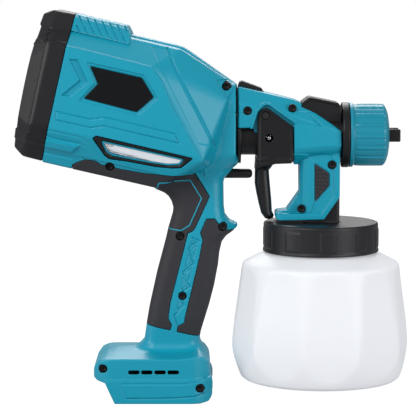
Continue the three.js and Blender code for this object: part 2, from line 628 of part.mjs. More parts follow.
add("trigger_pivot_pin", turnY([[0, -20.6], [2.8, -20.6], [2.8, -19.9], [2, -19.9], [2, 20.4], [0, 20.4]], PIVOT, 12), steel);

// needle: rod, collar, cross pin
add(
  "needle",
  turnX([[0, 18], [1.6, 18], [1.6, 41], [4.2, 41], [4.2, 51], [1.6, 51], [1.6, 128], [0.9, 132], [0.5, 136.8], [0, 137.2]], AXIS_Z, 12)
    .subtract(turnY(rod(1.75, -10, 10), [46.9, 203.4], 12)),
  steel,
);
add("needle_cross_pin", turnY(rod(1.5, -20.4, 20.4), [46.9, 203.4], 12), steel);
spring("needle_spring", 3.6, 0.45, 26.6, 40.1, 4, steel, AXIS_Z);

// nut, air cap and fluid nozzle
add(
  "nozzle_nut",
  turnX(
    [[22, 109.4], [25.1, 109.4], [25.1, 112], [24.3, 112.6], [24.3, 135.4], [21, 138], [12.4, 140.2],
     [12.4, 136.8], [18.6, 136.8], [18.6, 129.5], [22, 129.5], [22, 109.4]],
    AXIS_Z,
    28,
  ),
  tealNut,
);
let airCap = turnX([[3.4, 132], [18, 132], [18, 136.4], [12, 136.4], [12, 139.6], [3.4, 139.6], [3.4, 132]], AXIS_Z, 24);
for (const s of [-1, 1])
  airCap = airCap.add(hull([
    [138.6, s * 5.4, AXIS_Z - 4.9], [138.6, s * 5.4, AXIS_Z + 4.9], [138.6, s * 10, AXIS_Z - 4.9], [138.6, s * 10, AXIS_Z + 4.9],
    [148.7, s * 7.8, AXIS_Z - 4.9], [148.7, s * 7.8, AXIS_Z + 4.9], [148.7, s * 10, AXIS_Z - 4.9], [148.7, s * 10, AXIS_Z + 4.9],
  ]));
add("air_cap", airCap, black);
add(
  "fluid_nozzle",
  turnX([[2, 120.4], [8.7, 120.4], [8.7, 127], [6, 127], [6, 128.6], [2.9, 131.4], [2.9, 139], [1.1, 139], [1.1, 136], [2, 130], [2, 120.4]], AXIS_Z, 16)
    .intersect(turnX(rod(30, 124.4, 150), AXIS_Z, 12)),
  copper,
);

// ---------------------------------------------------------------- cup
let lid = turnZ(
  [[0, LID_Z[1]], [LID_R - 1.5, LID_Z[1]], [LID_R, LID_Z[1] - 1.5], [LID_R, LID_Z[0] + 0.8], [LID_R - 0.8, LID_Z[0]],
   [41.6, LID_Z[0]], [41.6, 133.4], [0, 133.4]],
  CUP_X, 40,
)
  .add(box(75, 102, -13.7, 13.7, 136.5, 187.1))
  .subtract(turnZ(rod(4, 130, 190), CUP_X, 12));
for (const s of gunScrews.slice(2)) lid = lid.subtract(turnY(rod(2, -40, 40), [s[0], s[1]], 12));
add("cup_lid", lid, capBlack);
add("lid_gasket", turnZ(tube(33, 41.2, 131.3, 133.1), CUP_X, 32), silicone);

// ten-sided cup with a round neck
const cupProfile = [
  [56, 14.4], [60.8, 16.2], [64.8, 21.5], [68.2, 31.5], [69.6, 43], [69, 53], [65.8, 76], [63.2, 92], [62.2, 101], [58.5, 106.8],
];
const sides = 10,
  spin = (-14 * Math.PI) / 180;
function decagon(profile, capLow, capHigh) {
  // stacked ten-sided rings; the vertex angle is measured from -Y towards +X
  const pos = [],
    idx = [];
  for (const [r, z] of profile)
    for (let k = 0; k < sides; k++) {
      const a = spin + (k * 2 * Math.PI) / sides;
      pos.push(CUP_X + r * Math.sin(a), -r * Math.cos(a), z);
    }
  const n = profile.length;
  for (let i = 0; i < n - 1; i++)
    for (let k = 0; k < sides; k++) {
      const a = i * sides + k,
        b = i * sides + ((k + 1) % sides),
        c = a + sides,
        d = b + sides;
      idx.push(a, b, d, a, d, c);
    }
  const lo = pos.length / 3;
  pos.push(CUP_X, 0, capLow);
  const hi = lo + 1;
  pos.push(CUP_X, 0, capHigh);
  for (let k = 0; k < sides; k++) {
    idx.push(lo, (k + 1) % sides, k);
    idx.push(hi, (n - 1) * sides + k, (n - 1) * sides + ((k + 1) % sides));
  }
  const g = new THREE.BufferGeometry();
  g.setAttribute("position", new THREE.Float32BufferAttribute(pos, 3));
  g.setIndex(idx);
  return solid(g);
}
const outerCup = decagon([...cupProfile, [46.5, 112.4]], 14.4, 112.4).add(turnZ(rod(40.4, 100, 131), CUP_X, 40));
const innerCup = decagon(
  [[54.2, 16.4], [58.8, 18], [62.8, 22.8], [66.2, 32], [67.6, 43], [67, 53], [63.8, 76], [61.2, 92], [60.2, 100], [56.5, 105.2], [44.5, 110.4]],
  16.4, 110.4,
).add(turnZ(rod(37.8, 100, 140), CUP_X, 40));
add("paint_cup", outerCup.subtract(innerCup), white);
add("suction_tube", turnZ(tube(2.2, 3.6, 20, 178), CUP_X, 12), tubeGrey);

// ---------------------------------------------------------------- fasteners
function screw(name, [x, z, face, seat, end]) {
  const a = face + seat;
  add(
    name,
    turnY([[0, a + 1.2 - 2.2], [1.2, a + 1.2 - 2.2], [1.2, a - 2.4], [2.8, a - 2.4], [3, a - 2], [3, a], [1.4, a], [1.4, end - 1], [0, end]], [x, z], 8),
    black,
  );
}
bodyScrews.forEach((s, i) => screw("housing_screw_" + (i + 1), s));
screw("housing_screw_7", railScrew);
gunScrews.forEach((s, i) => screw("gun_screw_" + (i + 1), s));

export default root;
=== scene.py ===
import json, math
from concurrent.futures import ThreadPoolExecutor

import bpy, bmesh
import numpy as np
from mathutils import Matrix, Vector

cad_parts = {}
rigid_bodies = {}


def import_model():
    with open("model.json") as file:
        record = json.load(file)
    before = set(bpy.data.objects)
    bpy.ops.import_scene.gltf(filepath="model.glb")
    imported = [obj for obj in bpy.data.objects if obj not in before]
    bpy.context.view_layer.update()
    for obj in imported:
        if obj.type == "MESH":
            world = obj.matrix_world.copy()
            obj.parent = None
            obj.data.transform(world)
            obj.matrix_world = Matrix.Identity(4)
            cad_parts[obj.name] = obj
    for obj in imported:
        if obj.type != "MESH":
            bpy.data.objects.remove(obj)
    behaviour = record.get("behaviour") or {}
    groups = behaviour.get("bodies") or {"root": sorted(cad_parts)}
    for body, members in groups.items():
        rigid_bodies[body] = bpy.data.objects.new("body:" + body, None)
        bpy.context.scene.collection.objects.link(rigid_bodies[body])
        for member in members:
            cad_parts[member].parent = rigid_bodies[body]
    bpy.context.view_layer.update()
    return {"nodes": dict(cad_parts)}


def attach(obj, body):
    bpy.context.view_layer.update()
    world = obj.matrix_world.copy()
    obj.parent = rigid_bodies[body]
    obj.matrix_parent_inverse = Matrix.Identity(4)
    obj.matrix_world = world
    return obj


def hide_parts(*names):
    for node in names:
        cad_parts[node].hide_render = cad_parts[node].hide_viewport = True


for o in list(bpy.data.objects):
    bpy.data.objects.remove(o)
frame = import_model()


# ------------------------------------------------------------------ frame of reference
OX = 4.4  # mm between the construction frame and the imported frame
TILT = math.radians(13)
CT, ST = math.cos(TILT), math.sin(TILT)
BX, BZ = -113.35, 241.9
AXIS_Z = 204.7
CUP_X = 88.0
PIVOT = (44.1, 220.6)
PLUNGER_Z = 174.6
f32 = np.float32


def L(p, q):
    return (BX + p * CT + q * ST, BZ - p * ST + q * CT)


def PQ(x, z):
    dx, dz = x - BX, z - BZ
    return dx * CT - dz * ST, dx * ST + dz * CT


def W(x, y, z):
    return Vector(((x - OX) / 1000, y / 1000, z / 1000))


# ------------------------------------------------------------------ camera
cam_data = bpy.data.cameras.new("cam")
cam_data.sensor_width = 36
cam_data.lens = 36 * 1500 / 324.48
cam_data.clip_start = 0.05
cam_data.clip_end = 100
cam = bpy.data.objects.new("cam", cam_data)
bpy.context.scene.collection.objects.link(cam)
EL = math.radians(6.3)
TGT = Vector((-OX / 1000, 0, 0.14742))
cam.location = TGT + Vector((0, -1.5 * math.cos(EL), 1.5 * math.sin(EL)))
cam.rotation_euler = (math.pi / 2 - EL, 0, 0)
bpy.context.scene.camera = cam


# ------------------------------------------------------------------ implicit shapes (millimetres)
def smin(a, b, k):
    h = np.maximum(k - np.abs(a - b), 0) / k
    return np.minimum(a, b) - h * h * (k * 0.25)


def smax(a, b, k):
    h = np.maximum(k - np.abs(a - b), 0) / k
    return np.maximum(a, b) + h * h * (k * 0.25)


def sstep(v, a, b):
    t = np.clip((v - a) / (b - a), 0, 1)
    return t * t * (3 - 2 * t)


class Hull:
    """A convex solid with rounded edges, from its corner points."""

    def __init__(self, pts, k=0.7):
        pts = [tuple(map(float, p)) for p in pts]
        bm = bmesh.new()
        vs = [bm.verts.new(p) for p in pts]
        bmesh.ops.convex_hull(bm, input=vs)
        P = np.array(pts)
        c = P.mean(axis=0)
        planes = []
        for f in sorted(bm.faces, key=lambda f: -f.calc_area()):
            v = [np.array(w.co) for w in f.verts]
            e = max(np.linalg.norm(v[i] - v[i - 1]) for i in range(len(v)))
            if f.calc_area() * 2 / e < 0.45:
                continue
            n = np.cross(v[1] - v[0], v[2] - v[0])
            n = n / np.linalg.norm(n)
            if n @ (v[0] - c) < 0:
                n = -n
            d = float((P @ n).max())
            if all(n @ m < 0.9994 or abs(d - g) > 0.35 for m, g in planes):
                planes.append((n, d))
        bm.free()
        self.planes = planes
        self.k = k

    def __call__(self, x, y, z):
        m1 = m2 = None
        for n, d in self.planes:
            v = x * f32(n[0])
            v += y * f32(n[1])
            v += z * f32(n[2])
            v -= f32(d)
            if m1 is None:
                m1, m2 = v, np.full_like(v, -1e3)
                continue
            np.maximum(m2, np.minimum(m1, v), out=m2)
            np.maximum(m1, v, out=m1)
        k = self.k * 2.6
        h = np.maximum(k - (m1 - m2), 0) / k
        return m1 + h * h * (k * 0.25)


def mir(list3):
    out = []
    for x, z, y in list3:
        out += [(x, y, z), (x, -y, z)]
    return out


def poly_sd(pts, x, z):
    """Signed distance to a closed outline."""
    n = len(pts)
    d = np.full(x.shape, 1e9, f32)
    s = np.ones(x.shape, f32)
    for i in range(n):
        ax, az = pts[i]
        bx, bz = pts[i - 1]
        ex, ez = bx - ax, bz - az
        wx, wz = x - f32(ax), z - f32(az)
        t = np.clip((wx * f32(ex) + wz * f32(ez)) / f32(ex * ex + ez * ez), 0, 1)
        qx, qz = wx - f32(ex) * t, wz - f32(ez) * t
        d = np.minimum(d, qx * qx + qz * qz)
        c1, c2, c3 = z >= f32(az), z < f32(bz), f32(ex) * wz > f32(ez) * wx
        s = np.where((c1 & c2 & c3) | (~c1 & ~c2 & ~c3), -s, s)
    return s * np.sqrt(d)


def line_d(pts, x, z):
    """Distance to an open polyline."""
    d = np.full(x.shape, 1e9, f32)
    for (ax, az), (bx, bz) in zip(pts[:-1], pts[1:]):
        ex, ez = bx - ax, bz - az
        wx, wz = x - f32(ax), z - f32(az)
        t = np.clip((wx * f32(ex) + wz * f32(ez)) / f32(ex * ex + ez * ez), 0, 1)
        qx, qz = wx - f32(ex) * t, wz - f32(ez) * t
        d = np.minimum(d, qx * qx + qz * qz)
    return np.sqrt(d)


GX0, GZ0, GR = -162.0, -6.0, 0.35
GNX, GNZ = int(330 / GR), int(314 / GR)


class Field:
    """A function of (x, z) kept on a fine grid and read back by bilinear interpolation."""

    def __init__(self, fill=0.0):
        self.a = np.full((GNX, GNZ), fill, f32)

    def window(self, pts, margin):
        xs, zs = [p[0] for p in pts], [p[1] for p in pts]
        i0 = max(0, int((min(xs) - margin - GX0) / GR))
        i1 = min(GNX, int((max(xs) + margin - GX0) / GR) + 2)
        j0 = max(0, int((min(zs) - margin - GZ0) / GR))
        j1 = min(GNZ, int((max(zs) + margin - GZ0) / GR) + 2)
        gx = (GX0 + GR * np.arange(i0, i1, dtype=f32))[:, None] + np.zeros((1, j1 - j0), f32)
        gz = (GZ0 + GR * np.arange(j0, j1, dtype=f32))[None, :] + np.zeros((i1 - i0, 1), f32)
        return (slice(i0, i1), slice(j0, j1)), gx, gz

    def put_sd(self, pts, margin=6, op=np.minimum):
        sl, gx, gz = self.window(pts, margin)
        self.a[sl] = op(self.a[sl], poly_sd(pts, gx, gz))
        return self

    def recess(self, pts, depth, soft=0.7, grow=0.0):
        sl, gx, gz = self.window(pts, 3)
        sd = poly_sd(pts, gx, gz) - grow
        self.a[sl] += depth * (1 - sstep(sd, -soft, soft * 0.3))
        return self

    def groove(self, pts, depth, width, closed=False):
        pts = list(pts) + ([pts[0]] if closed else [])
        sl, gx, gz = self.window(pts, 4 + width)
        d = line_d(pts, gx, gz)
        self.a[sl] = np.maximum(self.a[sl], self.a[sl] + depth * np.exp(-((d / (width * 0.5)) ** 2)))
        return self

    def ridge(self, pts, height, width):
        sl, gx, gz = self.window(pts, 4 + width)
        d = line_d(pts, gx, gz)
        self.a[sl] -= height * (1 - sstep(d, width * 0.35, width * 0.62))
        return self

    def __call__(self, x, z):
        u = np.clip((x - f32(GX0)) / f32(GR), 0, GNX - 1.01)
        v = np.clip((z - f32(GZ0)) / f32(GR), 0, GNZ - 1.01)
        i, j = u.astype(np.int32), v.astype(np.int32)
        fu, fv = u - i, v - j
        a = self.a
        return (a[i, j] * (1 - fu) + a[i + 1, j] * fu) * (1 - fv) + (a[i, j + 1] * (1 - fu) + a[i + 1, j + 1] * fu) * fv


# ------------------------------------------------------------------ mesher
POOL = ThreadPoolExecutor(4)


def many(f, x, y, z, chunk=65536):
    """f over long arrays, a piece at a time."""
    out = np.empty(len(x), f32)

    def one(s):
        out[s : s + chunk] = f(x[s : s + chunk], y[s : s + chunk], z[s : s + chunk])

    list(POOL.map(one, range(0, len(x), chunk)))
    return out


def surface(f, lo, hi, h):
    """Closed quad mesh of f = 0: vertices, quads and normals."""
    B = 8
    lo = np.array(lo, float) - 1.5 * h
    hi = np.array(hi, float) + 1.5 * h
    nb = np.ceil((hi - lo) / (h * B)).astype(int)
    n = nb * B
    c = [lo[k] + h * (B * np.arange(nb[k]) + (B - 1) / 2) for k in range(3)]
    cx, cy, cz = [a.astype(f32).ravel() for a in np.meshgrid(*c, indexing="ij")]
    fc = many(f, cx, cy, cz).reshape(nb)
    keep = np.abs(fc) < (h * B * 0.87 * 1.25 + 2.2)
    F = np.repeat(np.repeat(np.repeat(np.where(fc > 0, 50, -50).astype(f32), B, 0), B, 1), B, 2)
    bi = np.argwhere(keep)
    off = np.stack(np.meshgrid(*[np.arange(B)] * 3, indexing="ij"), -1).reshape(-1, 3)
    step = 3000
    for s in range(0, len(bi), step):
        idx = (bi[s : s + step, None, :] * B + off[None]).reshape(-1, 3)
        x = (lo[0] + h * idx[:, 0]).astype(f32)
        y = (lo[1] + h * idx[:, 1]).astype(f32)
        z = (lo[2] + h * idx[:, 2]).astype(f32)
        F[idx[:, 0], idx[:, 1], idx[:, 2]] = many(f, x, y, z)
    F[F == 0] = 1e-6
    S = F < 0
    cnt = sum(
        S[a : n[0] - 1 + a, b : n[1] - 1 + b, g : n[2] - 1 + g].astype(np.int8)
        for a in (0, 1) for b in (0, 1) for g in (0, 1)
    )
    act = np.argwhere((cnt > 0) & (cnt < 8))
    vid = np.full(cnt.shape, -1, np.int32)
    vid[act[:, 0], act[:, 1], act[:, 2]] = np.arange(len(act))
    corner = [(a, b, g) for a in (0, 1) for b in (0, 1) for g in (0, 1)]
    vals = {k: F[act[:, 0] + k[0], act[:, 1] + k[1], act[:, 2] + k[2]] for k in corner}
    acc = np.zeros((len(act), 3))
    num = np.zeros(len(act))
    for k in corner:
        for ax in range(3):
            if k[ax]:
                continue
            k2 = tuple(1 if i == ax else k[i] for i in range(3))
            a, b = vals[k], vals[k2]
            cross = (a < 0) != (b < 0)
            t = np.where(cross, a / np.where(cross, a - b, 1), 0)
            pt = np.array(k, float)[None, :] + np.zeros((len(act), 3))
            pt[:, ax] += t
            acc += np.where(cross[:, None], pt, 0)
            num += cross
    V = lo + h * (act + acc / num[:, None])
    quads = []
    for ax in range(3):
        u, w = [(1, 2), (2, 0), (0, 1)][ax]
        sl0 = [slice(1, n[k] - 1) for k in range(3)]
        sl1 = list(sl0)
        sl0[ax] = slice(0, n[ax] - 1)
        sl1[ax] = slice(1, n[ax])
        a, b = S[tuple(sl0)], S[tuple(sl1)]
        e = np.argwhere(a != b)
        o = np.array([0 if k == ax else 1 for k in range(3)])
        inside = a[e[:, 0], e[:, 1], e[:, 2]]
        e = e + o
        def cell(du, dw):
            q = e.copy()
            q[:, u] -= du
            q[:, w] -= dw
            return vid[q[:, 0], q[:, 1], q[:, 2]]
        q = np.stack([cell(1, 1), cell(0, 1), cell(0, 0), cell(1, 0)], 1)
        q = np.where(inside[:, None], q, q[:, ::-1])
        quads.append(q)
    Q = np.concatenate(quads)
    Q = Q[(Q >= 0).all(1)]

    tet = [(1, -1, -1), (-1, -1, 1), (-1, 1, -1), (1, 1, 1)]

    def grad(P):
        e = 0.11
        x, y, z = [np.ascontiguousarray(P[:, k].astype(f32)) for k in range(3)]
        g = np.zeros((len(P), 3))
        v = np.zeros(len(P))
        for t in tet:
            w = many(f, x + f32(e * t[0]), y + f32(e * t[1]), z + f32(e * t[2]))
            v += w
            g += w[:, None] * np.array(t)
        return g / (4 * e), v / 4

    for it in range(2):
        g, v = grad(V)
        gn = (g * g).sum(1)
        stepv = -(v / np.maximum(gn, 0.25))[:, None] * g
        ln = np.linalg.norm(stepv, axis=1, keepdims=True)
        stepv *= np.minimum(1, 0.55 * h / np.maximum(ln, 1e-9))
        V = V + stepv
    g, v = grad(V)
    N = g / np.maximum(np.linalg.norm(g, axis=1, keepdims=True), 1e-9)
    return V, Q, N


def largest(V, Q, N):
    """Keeps only the biggest connected part, so no crumbs are left."""
    n = len(V)
    lab = np.arange(n)
    for _ in range(400):
        m = lab[Q].min(1)
        new = lab.copy()
        for k in range(4):
            np.minimum.at(new, Q[:, k], m)
        new = new[new]
        if (new == lab).all():
            break
        lab = new
    ids, cnt = np.unique(lab[Q[:, 0]], return_counts=True)
    if len(ids) == 1:
        return V, Q, N
    best = ids[cnt.argmax()]
    keepq = lab[Q[:, 0]] == best
    Q = Q[keepq]
    used = np.zeros(n, bool)
    used[Q.ravel()] = True
    remap = np.cumsum(used) - 1
    return V[used], remap[Q], N[used]


PIECES = {}




def put(name, V, faces, body, mats, replaces=(), normals=None, flip=False, smooth=None, mat_of=None):
    """Makes the object from millimetre vertices and rides it on its body."""
    me = bpy.data.meshes.new(name)
    V = np.array(V, float).copy()
    V[:, 0] -= OX
    V /= 1000.0
    if isinstance(faces, np.ndarray):
        Q = faces[:, ::-1] if flip else faces
        me.vertices.add(len(V))
        me.vertices.foreach_set("co", V.astype(f32).ravel())
        me.loops.add(Q.size)
        me.loops.foreach_set("vertex_index", np.ascontiguousarray(Q, dtype=np.int32).ravel())
        me.polygons.add(len(Q))
        me.polygons.foreach_set("loop_start", np.arange(0, Q.size, 4, dtype=np.int32))
        me.polygons.foreach_set("loop_total", np.full(len(Q), 4, np.int32))
        me.update(calc_edges=True)
        me.validate()
    else:
        me.from_pydata([tuple(v) for v in V], [], [tuple(f) for f in faces])
        me.update()
    ob = bpy.data.objects.new(name, me)
    bpy.context.scene.collection.objects.link(ob)
    for m in mats if isinstance(mats, (list, tuple)) else [mats]:
        me.materials.append(m)
    if mat_of is not None:
        cen = np.zeros(len(me.polygons) * 3, f32)
        me.polygons.foreach_get("center", cen)
        cen = cen.reshape(-1, 3) * 1000
        cen[:, 0] += OX
        me.polygons.foreach_set("material_index", mat_of(cen[:, 0], cen[:, 1], cen[:, 2]).astype(np.int32))
    me.polygons.foreach_set("use_smooth", np.ones(len(me.polygons), bool))
    if smooth is not None:
        bm = bmesh.new()
        bm.from_mesh(me)
        lim = math.radians(smooth)
        for e in bm.edges:
            e.smooth = not (len(e.link_faces) == 2 and e.calc_face_angle(0) > lim)
        bm.to_mesh(me)
        bm.free()
    me.update()
    if normals is not None:
        me.normals_split_custom_set_from_vertices([tuple(v) for v in normals])
    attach(ob, body)
    if replaces:
        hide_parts(*replaces)
    PIECES[name] = ob
    return ob


def implicit(name, f, lo, hi, h, body, mats, replaces=(), mirror=None, mat_of=None, whole=True):
    V, Q, N = surface(f, lo, hi, h)
    if whole:
        V, Q, N = largest(V, Q, N)
    put(name, V, Q, body, mats, replaces, N, mat_of=mat_of)
    if mirror:
        V2, N2 = V.copy(), N.copy()
        V2[:, 1] *= -1
        N2[:, 1] *= -1
        put(mirror[0], V2, Q, body, mats, mirror[1], N2, flip=True, mat_of=mat_of)


# ------------------------------------------------------------------ turned pieces
def rounded(profile, r=0.5, seg=3, closed=False):
    """Rounds the corners of a (radius, along) profile."""
    pts = [np.array(p, float) for p in profile]
    out = []
    n = len(pts)
    for i, p in enumerate(pts):
        if not closed and i in (0, n - 1):
            out.append(p)
            continue
        a, b = pts[(i - 1) % n], pts[(i + 1) % n]
        u, v = a - p, b - p
        lu, lv = np.linalg.norm(u), np.linalg.norm(v)
        u, v = u / lu, v / lv
        cosang = float(np.clip(u @ v, -1, 1))
        if cosang < -0.985:
            out.append(p)
            continue
        t = min(r, 0.45 * lu, 0.45 * lv)
        for s in range(seg + 1):
            w = s / seg
            out.append((1 - w) ** 2 * (p + u * t) + 2 * w * (1 - w) * p + w * w * (p + v * t))
    return out


def revolve(profile, n, to_world, mod=None, closed=False):
    """Quads of a turned profile; mod(theta, r, a) may change the radius."""
    prof = [(float(p[0]), float(p[1])) for p in profile]
    V, F = [], []
    rows = []
    th = np.arange(n) * 2 * math.pi / n
    for r, a in prof:
        if r < 1e-6 and not closed:
            rows.append([len(V)])
            V.append(to_world(0.0, 0.0, a))
        else:
            rr = np.full(n, r) if mod is None else mod(th, r, a)
            rows.append(list(range(len(V), len(V) + n)))
            V += [to_world(rr[i] * math.cos(th[i]), rr[i] * math.sin(th[i]), a) for i in range(n)]
    m = len(rows)
    for i in range(m if closed else m - 1):
        A, Bq = rows[i], rows[(i + 1) % m]
        for k in range(n):
            k2 = (k + 1) % n
            if len(A) == 1 and len(Bq) == 1:
                continue
            if len(A) == 1:
                F.append((A[0], Bq[k2], Bq[k]))
            elif len(Bq) == 1:
                F.append((A[k], A[k2], Bq[0]))
            else:
                F.append((A[k], A[k2], Bq[k2], Bq[k]))
    return V, F


def fix_normals(ob):
    bm = bmesh.new()
    bm.from_mesh(ob.data)
    bmesh.ops.recalc_face_normals(bm, faces=bm.faces)
    bm.to_mesh(ob.data)
    bm.free()


def along_x(z0):
    return lambda u, v, a: (a, u, z0 + v)


def along_z(x0, y0=0.0):
    return lambda u, v, a: (x0 + u, y0 + v, a)


def along_y(x0, z0):
    return lambda u, v, a: (x0 + u, a, z0 + v)


def turned(name, profile, n, axis, body, mat, replaces=(), r=0.4, closed=False, mod=None, seg=3, angle=42, mat_of=None):
    V, F = revolve(rounded(profile, r, seg, closed), n, axis, mod, closed)
    ob = put(name, V, F, body, mat, replaces, mat_of=mat_of)
    fix_normals(ob)
    bm = bmesh.new()
    bm.from_mesh(ob.data)
    lim = math.radians(angle)
    for e in bm.edges:
        e.smooth = not (len(e.link_faces) == 2 and e.calc_face_angle(0) > lim)
    bm.to_mesh(ob.data)
    bm.free()
    return ob


# ------------------------------------------------------------------ materials
def material(name, rgb, rough=0.4, metal=0.0, grain=600, bump=0.08, var=0.06, rvar=0.12, coat=0.0, spec=0.5, sss=0.0, extra=None, broad=18, glow=None):
    m = bpy.data.materials.new(name)
    m.use_nodes = True
    nt = m.node_tree
    nt.nodes.clear()
    out = nt.nodes.new("ShaderNodeOutputMaterial")
    b = nt.nodes.new("ShaderNodeBsdfPrincipled")
    nt.links.new(b.outputs[0], out.inputs[0])
    b.inputs["Metallic"].default_value = metal
    b.inputs["Specular IOR Level"].default_value = spec
    if coat:
        b.inputs["Coat Weight"].default_value = coat
        b.inputs["Coat Roughness"].default_value = 0.12
    if sss:
        b.inputs["Subsurface Weight"].default_value = sss
        b.inputs["Subsurface Radius"].default_value = (0.012, 0.012, 0.012)
        b.inputs["Subsurface Scale"].default_value = 1.0
    # glow: emission colour and strength, used as a painted glow on parts that are no lamp
    if glow:
        b.inputs["Emission Color"].default_value = (*glow[:3], 1)
        b.inputs["Emission Strength"].default_value = glow[3]
    co = nt.nodes.new("ShaderNodeTexCoord")
    # broad tone variation
    n1 = nt.nodes.new("ShaderNodeTexNoise")
    n1.inputs["Scale"].default_value = broad
    n1.inputs["Detail"].default_value = 3
    nt.links.new(co.outputs["Object"], n1.inputs["Vector"])
    mix = nt.nodes.new("ShaderNodeMix")
    mix.data_type = "RGBA"
    lo = [max(0, c * (1 - var)) for c in rgb[:3]] + [1]
    hi = [min(1, c * (1 + var)) for c in rgb[:3]] + [1]
    mix.inputs[6].default_value = lo
    mix.inputs[7].default_value = hi
    nt.links.new(n1.outputs["Fac"], mix.inputs[0])
    colour = mix.outputs[2]
    if extra:
        colour = extra(nt, co, colour, b)
    nt.links.new(colour, b.inputs["Base Color"])
    # fine moulded grain in roughness and bump
    n2 = nt.nodes.new("ShaderNodeTexNoise")
    n2.inputs["Scale"].default_value = grain
    n2.inputs["Detail"].default_value = 2
    nt.links.new(co.outputs["Object"], n2.inputs["Vector"])
    mr = nt.nodes.new("ShaderNodeMapRange")
    mr.inputs[3].default_value = max(0.02, rough - rvar * 0.5)
    mr.inputs[4].default_value = min(1, rough + rvar * 0.5)
    nt.links.new(n2.outputs["Fac"], mr.inputs[0])
    nt.links.new(mr.outputs[0], b.inputs["Roughness"])
    if bump:
        bp = nt.nodes.new("ShaderNodeBump")
        bp.inputs["Strength"].default_value = bump
        bp.inputs["Distance"].default_value = 0.0002
        nt.links.new(n2.outputs["Fac"], bp.inputs["Height"])
        nt.links.new(bp.outputs[0], b.inputs["Normal"])
    return m


def srgb(r, g, b):
    return tuple(((c / 255 + 0.055) / 1.055) ** 2.4 if c > 10 else c / 255 / 12.92 for c in (r, g, b))


TEAL = material("teal_plastic", srgb(8, 149, 175), rough=0.38, grain=900, bump=0.06, var=0.03, spec=0.42)
TEAL_NUT = material("teal_nut_plastic", srgb(6, 134, 158), rough=0.34, grain=900, bump=0.05, var=0.03, spec=0.5)
BLACK = material("black_plastic", srgb(20, 20, 22), rough=0.38, grain=1100, bump=0.07, var=0.08, spec=0.34)
BLACK_GLOSS = material("badge_gloss", srgb(13, 14, 16), rough=0.24, grain=300, bump=0.0, var=0.05, coat=0.1, spec=0.25)
COVER = material("rear_cover_plastic", srgb(22, 22, 25), rough=0.42, grain=1100, bump=0.08, var=0.08, spec=0.36)
LID = material("lid_plastic", srgb(26, 26, 29), rough=0.42, grain=900, bump=0.1, var=0.08, spec=0.38)
RUBBER = material("soft_rubber", srgb(48, 48, 52), rough=0.6, grain=1500, bump=0.25, var=0.06, spec=0.28)
# black screw heads, darkened past the black plastic as painted shade so they read as holes
SCREW = material("screw_black", srgb(9, 9, 10), rough=0.4, grain=700, bump=0.05, var=0.1, spec=0.25)
# the cup glows (emission): painted light standing in for light coming through the translucent white plastic; it is no
# lamp
CUPM = material("cup_plastic", srgb(228, 230, 234), rough=0.4, grain=500, bump=0.02, var=0.01, sss=0.5, spec=0.32, glow=(0.95, 0.965, 1.0, 0.15))
STEEL = material("bright_steel", srgb(190, 192, 196), rough=0.24, metal=1.0, grain=500, bump=0.02, var=0.04)
BRASS = material("turned_brass", srgb(196, 160, 92), rough=0.28, metal=1.0, grain=500, bump=0.02, var=0.05)
COPPER = material("plated_contact", srgb(190, 128, 74), rough=0.3, metal=1.0, grain=500, bump=0.02, var=0.05)
FOAM = material("filter_foam", srgb(58, 60, 64), rough=0.95, grain=420, bump=1.0, var=0.35, spec=0.15, broad=260)
BOARD = material("circuit_laminate", srgb(24, 92, 52), rough=0.5, grain=300, bump=0.05, var=0.1)
SILICONE = material("silicone", srgb(214, 208, 196), rough=0.55, grain=700, bump=0.05, var=0.03)
TUBE = material("natural_tube", srgb(205, 209, 213), rough=0.35, grain=500, bump=0.02, var=0.02)
# the window lens glows (emission) as a painted highlight; it is no lamp
LENS = material("window_silver_painted_glow", srgb(214, 217, 222), rough=0.2, metal=0.0, grain=240, bump=0.0, var=0.05, coat=0.5, broad=60, glow=(0.9, 0.93, 1.0, 0.16))
# grey lines in the lower part of the window lens: painted reflection
LENS_REFLECTION_LINE = material("window_painted_reflection", srgb(96, 100, 106), rough=0.3, grain=240, bump=0.0, var=0.05)
# near-black hole colour: painted shade on the insides of screw wells, vents and the barrel bore, on the seam plate and
# on the pivot rivet
SHADE_DARK = material("hole_painted_shade", srgb(9, 9, 10), rough=0.6, grain=500, bump=0.02, var=0.1)

# ------------------------------------------------------------------ outlines, seen from the side
rearPad = [
    (-104.2, 165), (-103.6, 180.3), (-103, 184.4), (-99, 186.4), (-93.3, 188.5), (-85.5, 187.4),
    (-80.9, 184.4), (-66.3, 181), (-47.1, 177.6), (-26.9, 175.9), (-10, 176.5), (1, 158.3),
    (-3.9, 147.1), (-10, 133.9), (-11.6, 131.6), (-15.8, 129.6), (-16.2, 127.7), (-19.3, 115.2),
    (-29.4, 75.3), (-31, 63.2), (-28.3, 58.1), (-29.5, 53.8), (-60, 61), (-60, 120), (-75, 150),
]
frontPad = [
    (-1.2, 140.5), (5, 140.9), (8.5, 136.2), (12.3, 131.9), (32, 131.6), (32, 60), (5, 46),
    (-6.6, 48.6), (-24.1, 52.6), (-23.3, 56.9), (-18.2, 59.7), (-17.8, 63.6), (-13.6, 80.8),
    (-6.6, 110.5), (-3.9, 124.5), (-5.8, 130),
]
inlayLine = [(-40.2, 163.2), (-37.3, 170.1), (-13.7, 170.8), (-5, 156.8), (-14.3, 135.8), (-20.8, 131.9), (-30.3, 133.0)]
badge = [L(20.4, 23.2), L(60.2, 23.4), L(72, 10.9), L(62, -2.8), L(21, -1.7), L(28.9, 11.2)]
windowO = [L(34.2, -29.5), L(36.5, -27.2), L(110.3, -27.4), L(109.8, -29), L(104, -36.6), L(98.1, -38.4),
           L(85, -40.3), L(62.6, -41.2), L(49.2, -42.4), L(45.6, -40.6)]
lensO = [L(42.5, -30.8), L(103.4, -30.6), L(101.6, -34), L(93.4, -36.4), L(79.1, -37.6), L(62.3, -38.2),
         L(51.5, -38.6), L(46.6, -36.8)]
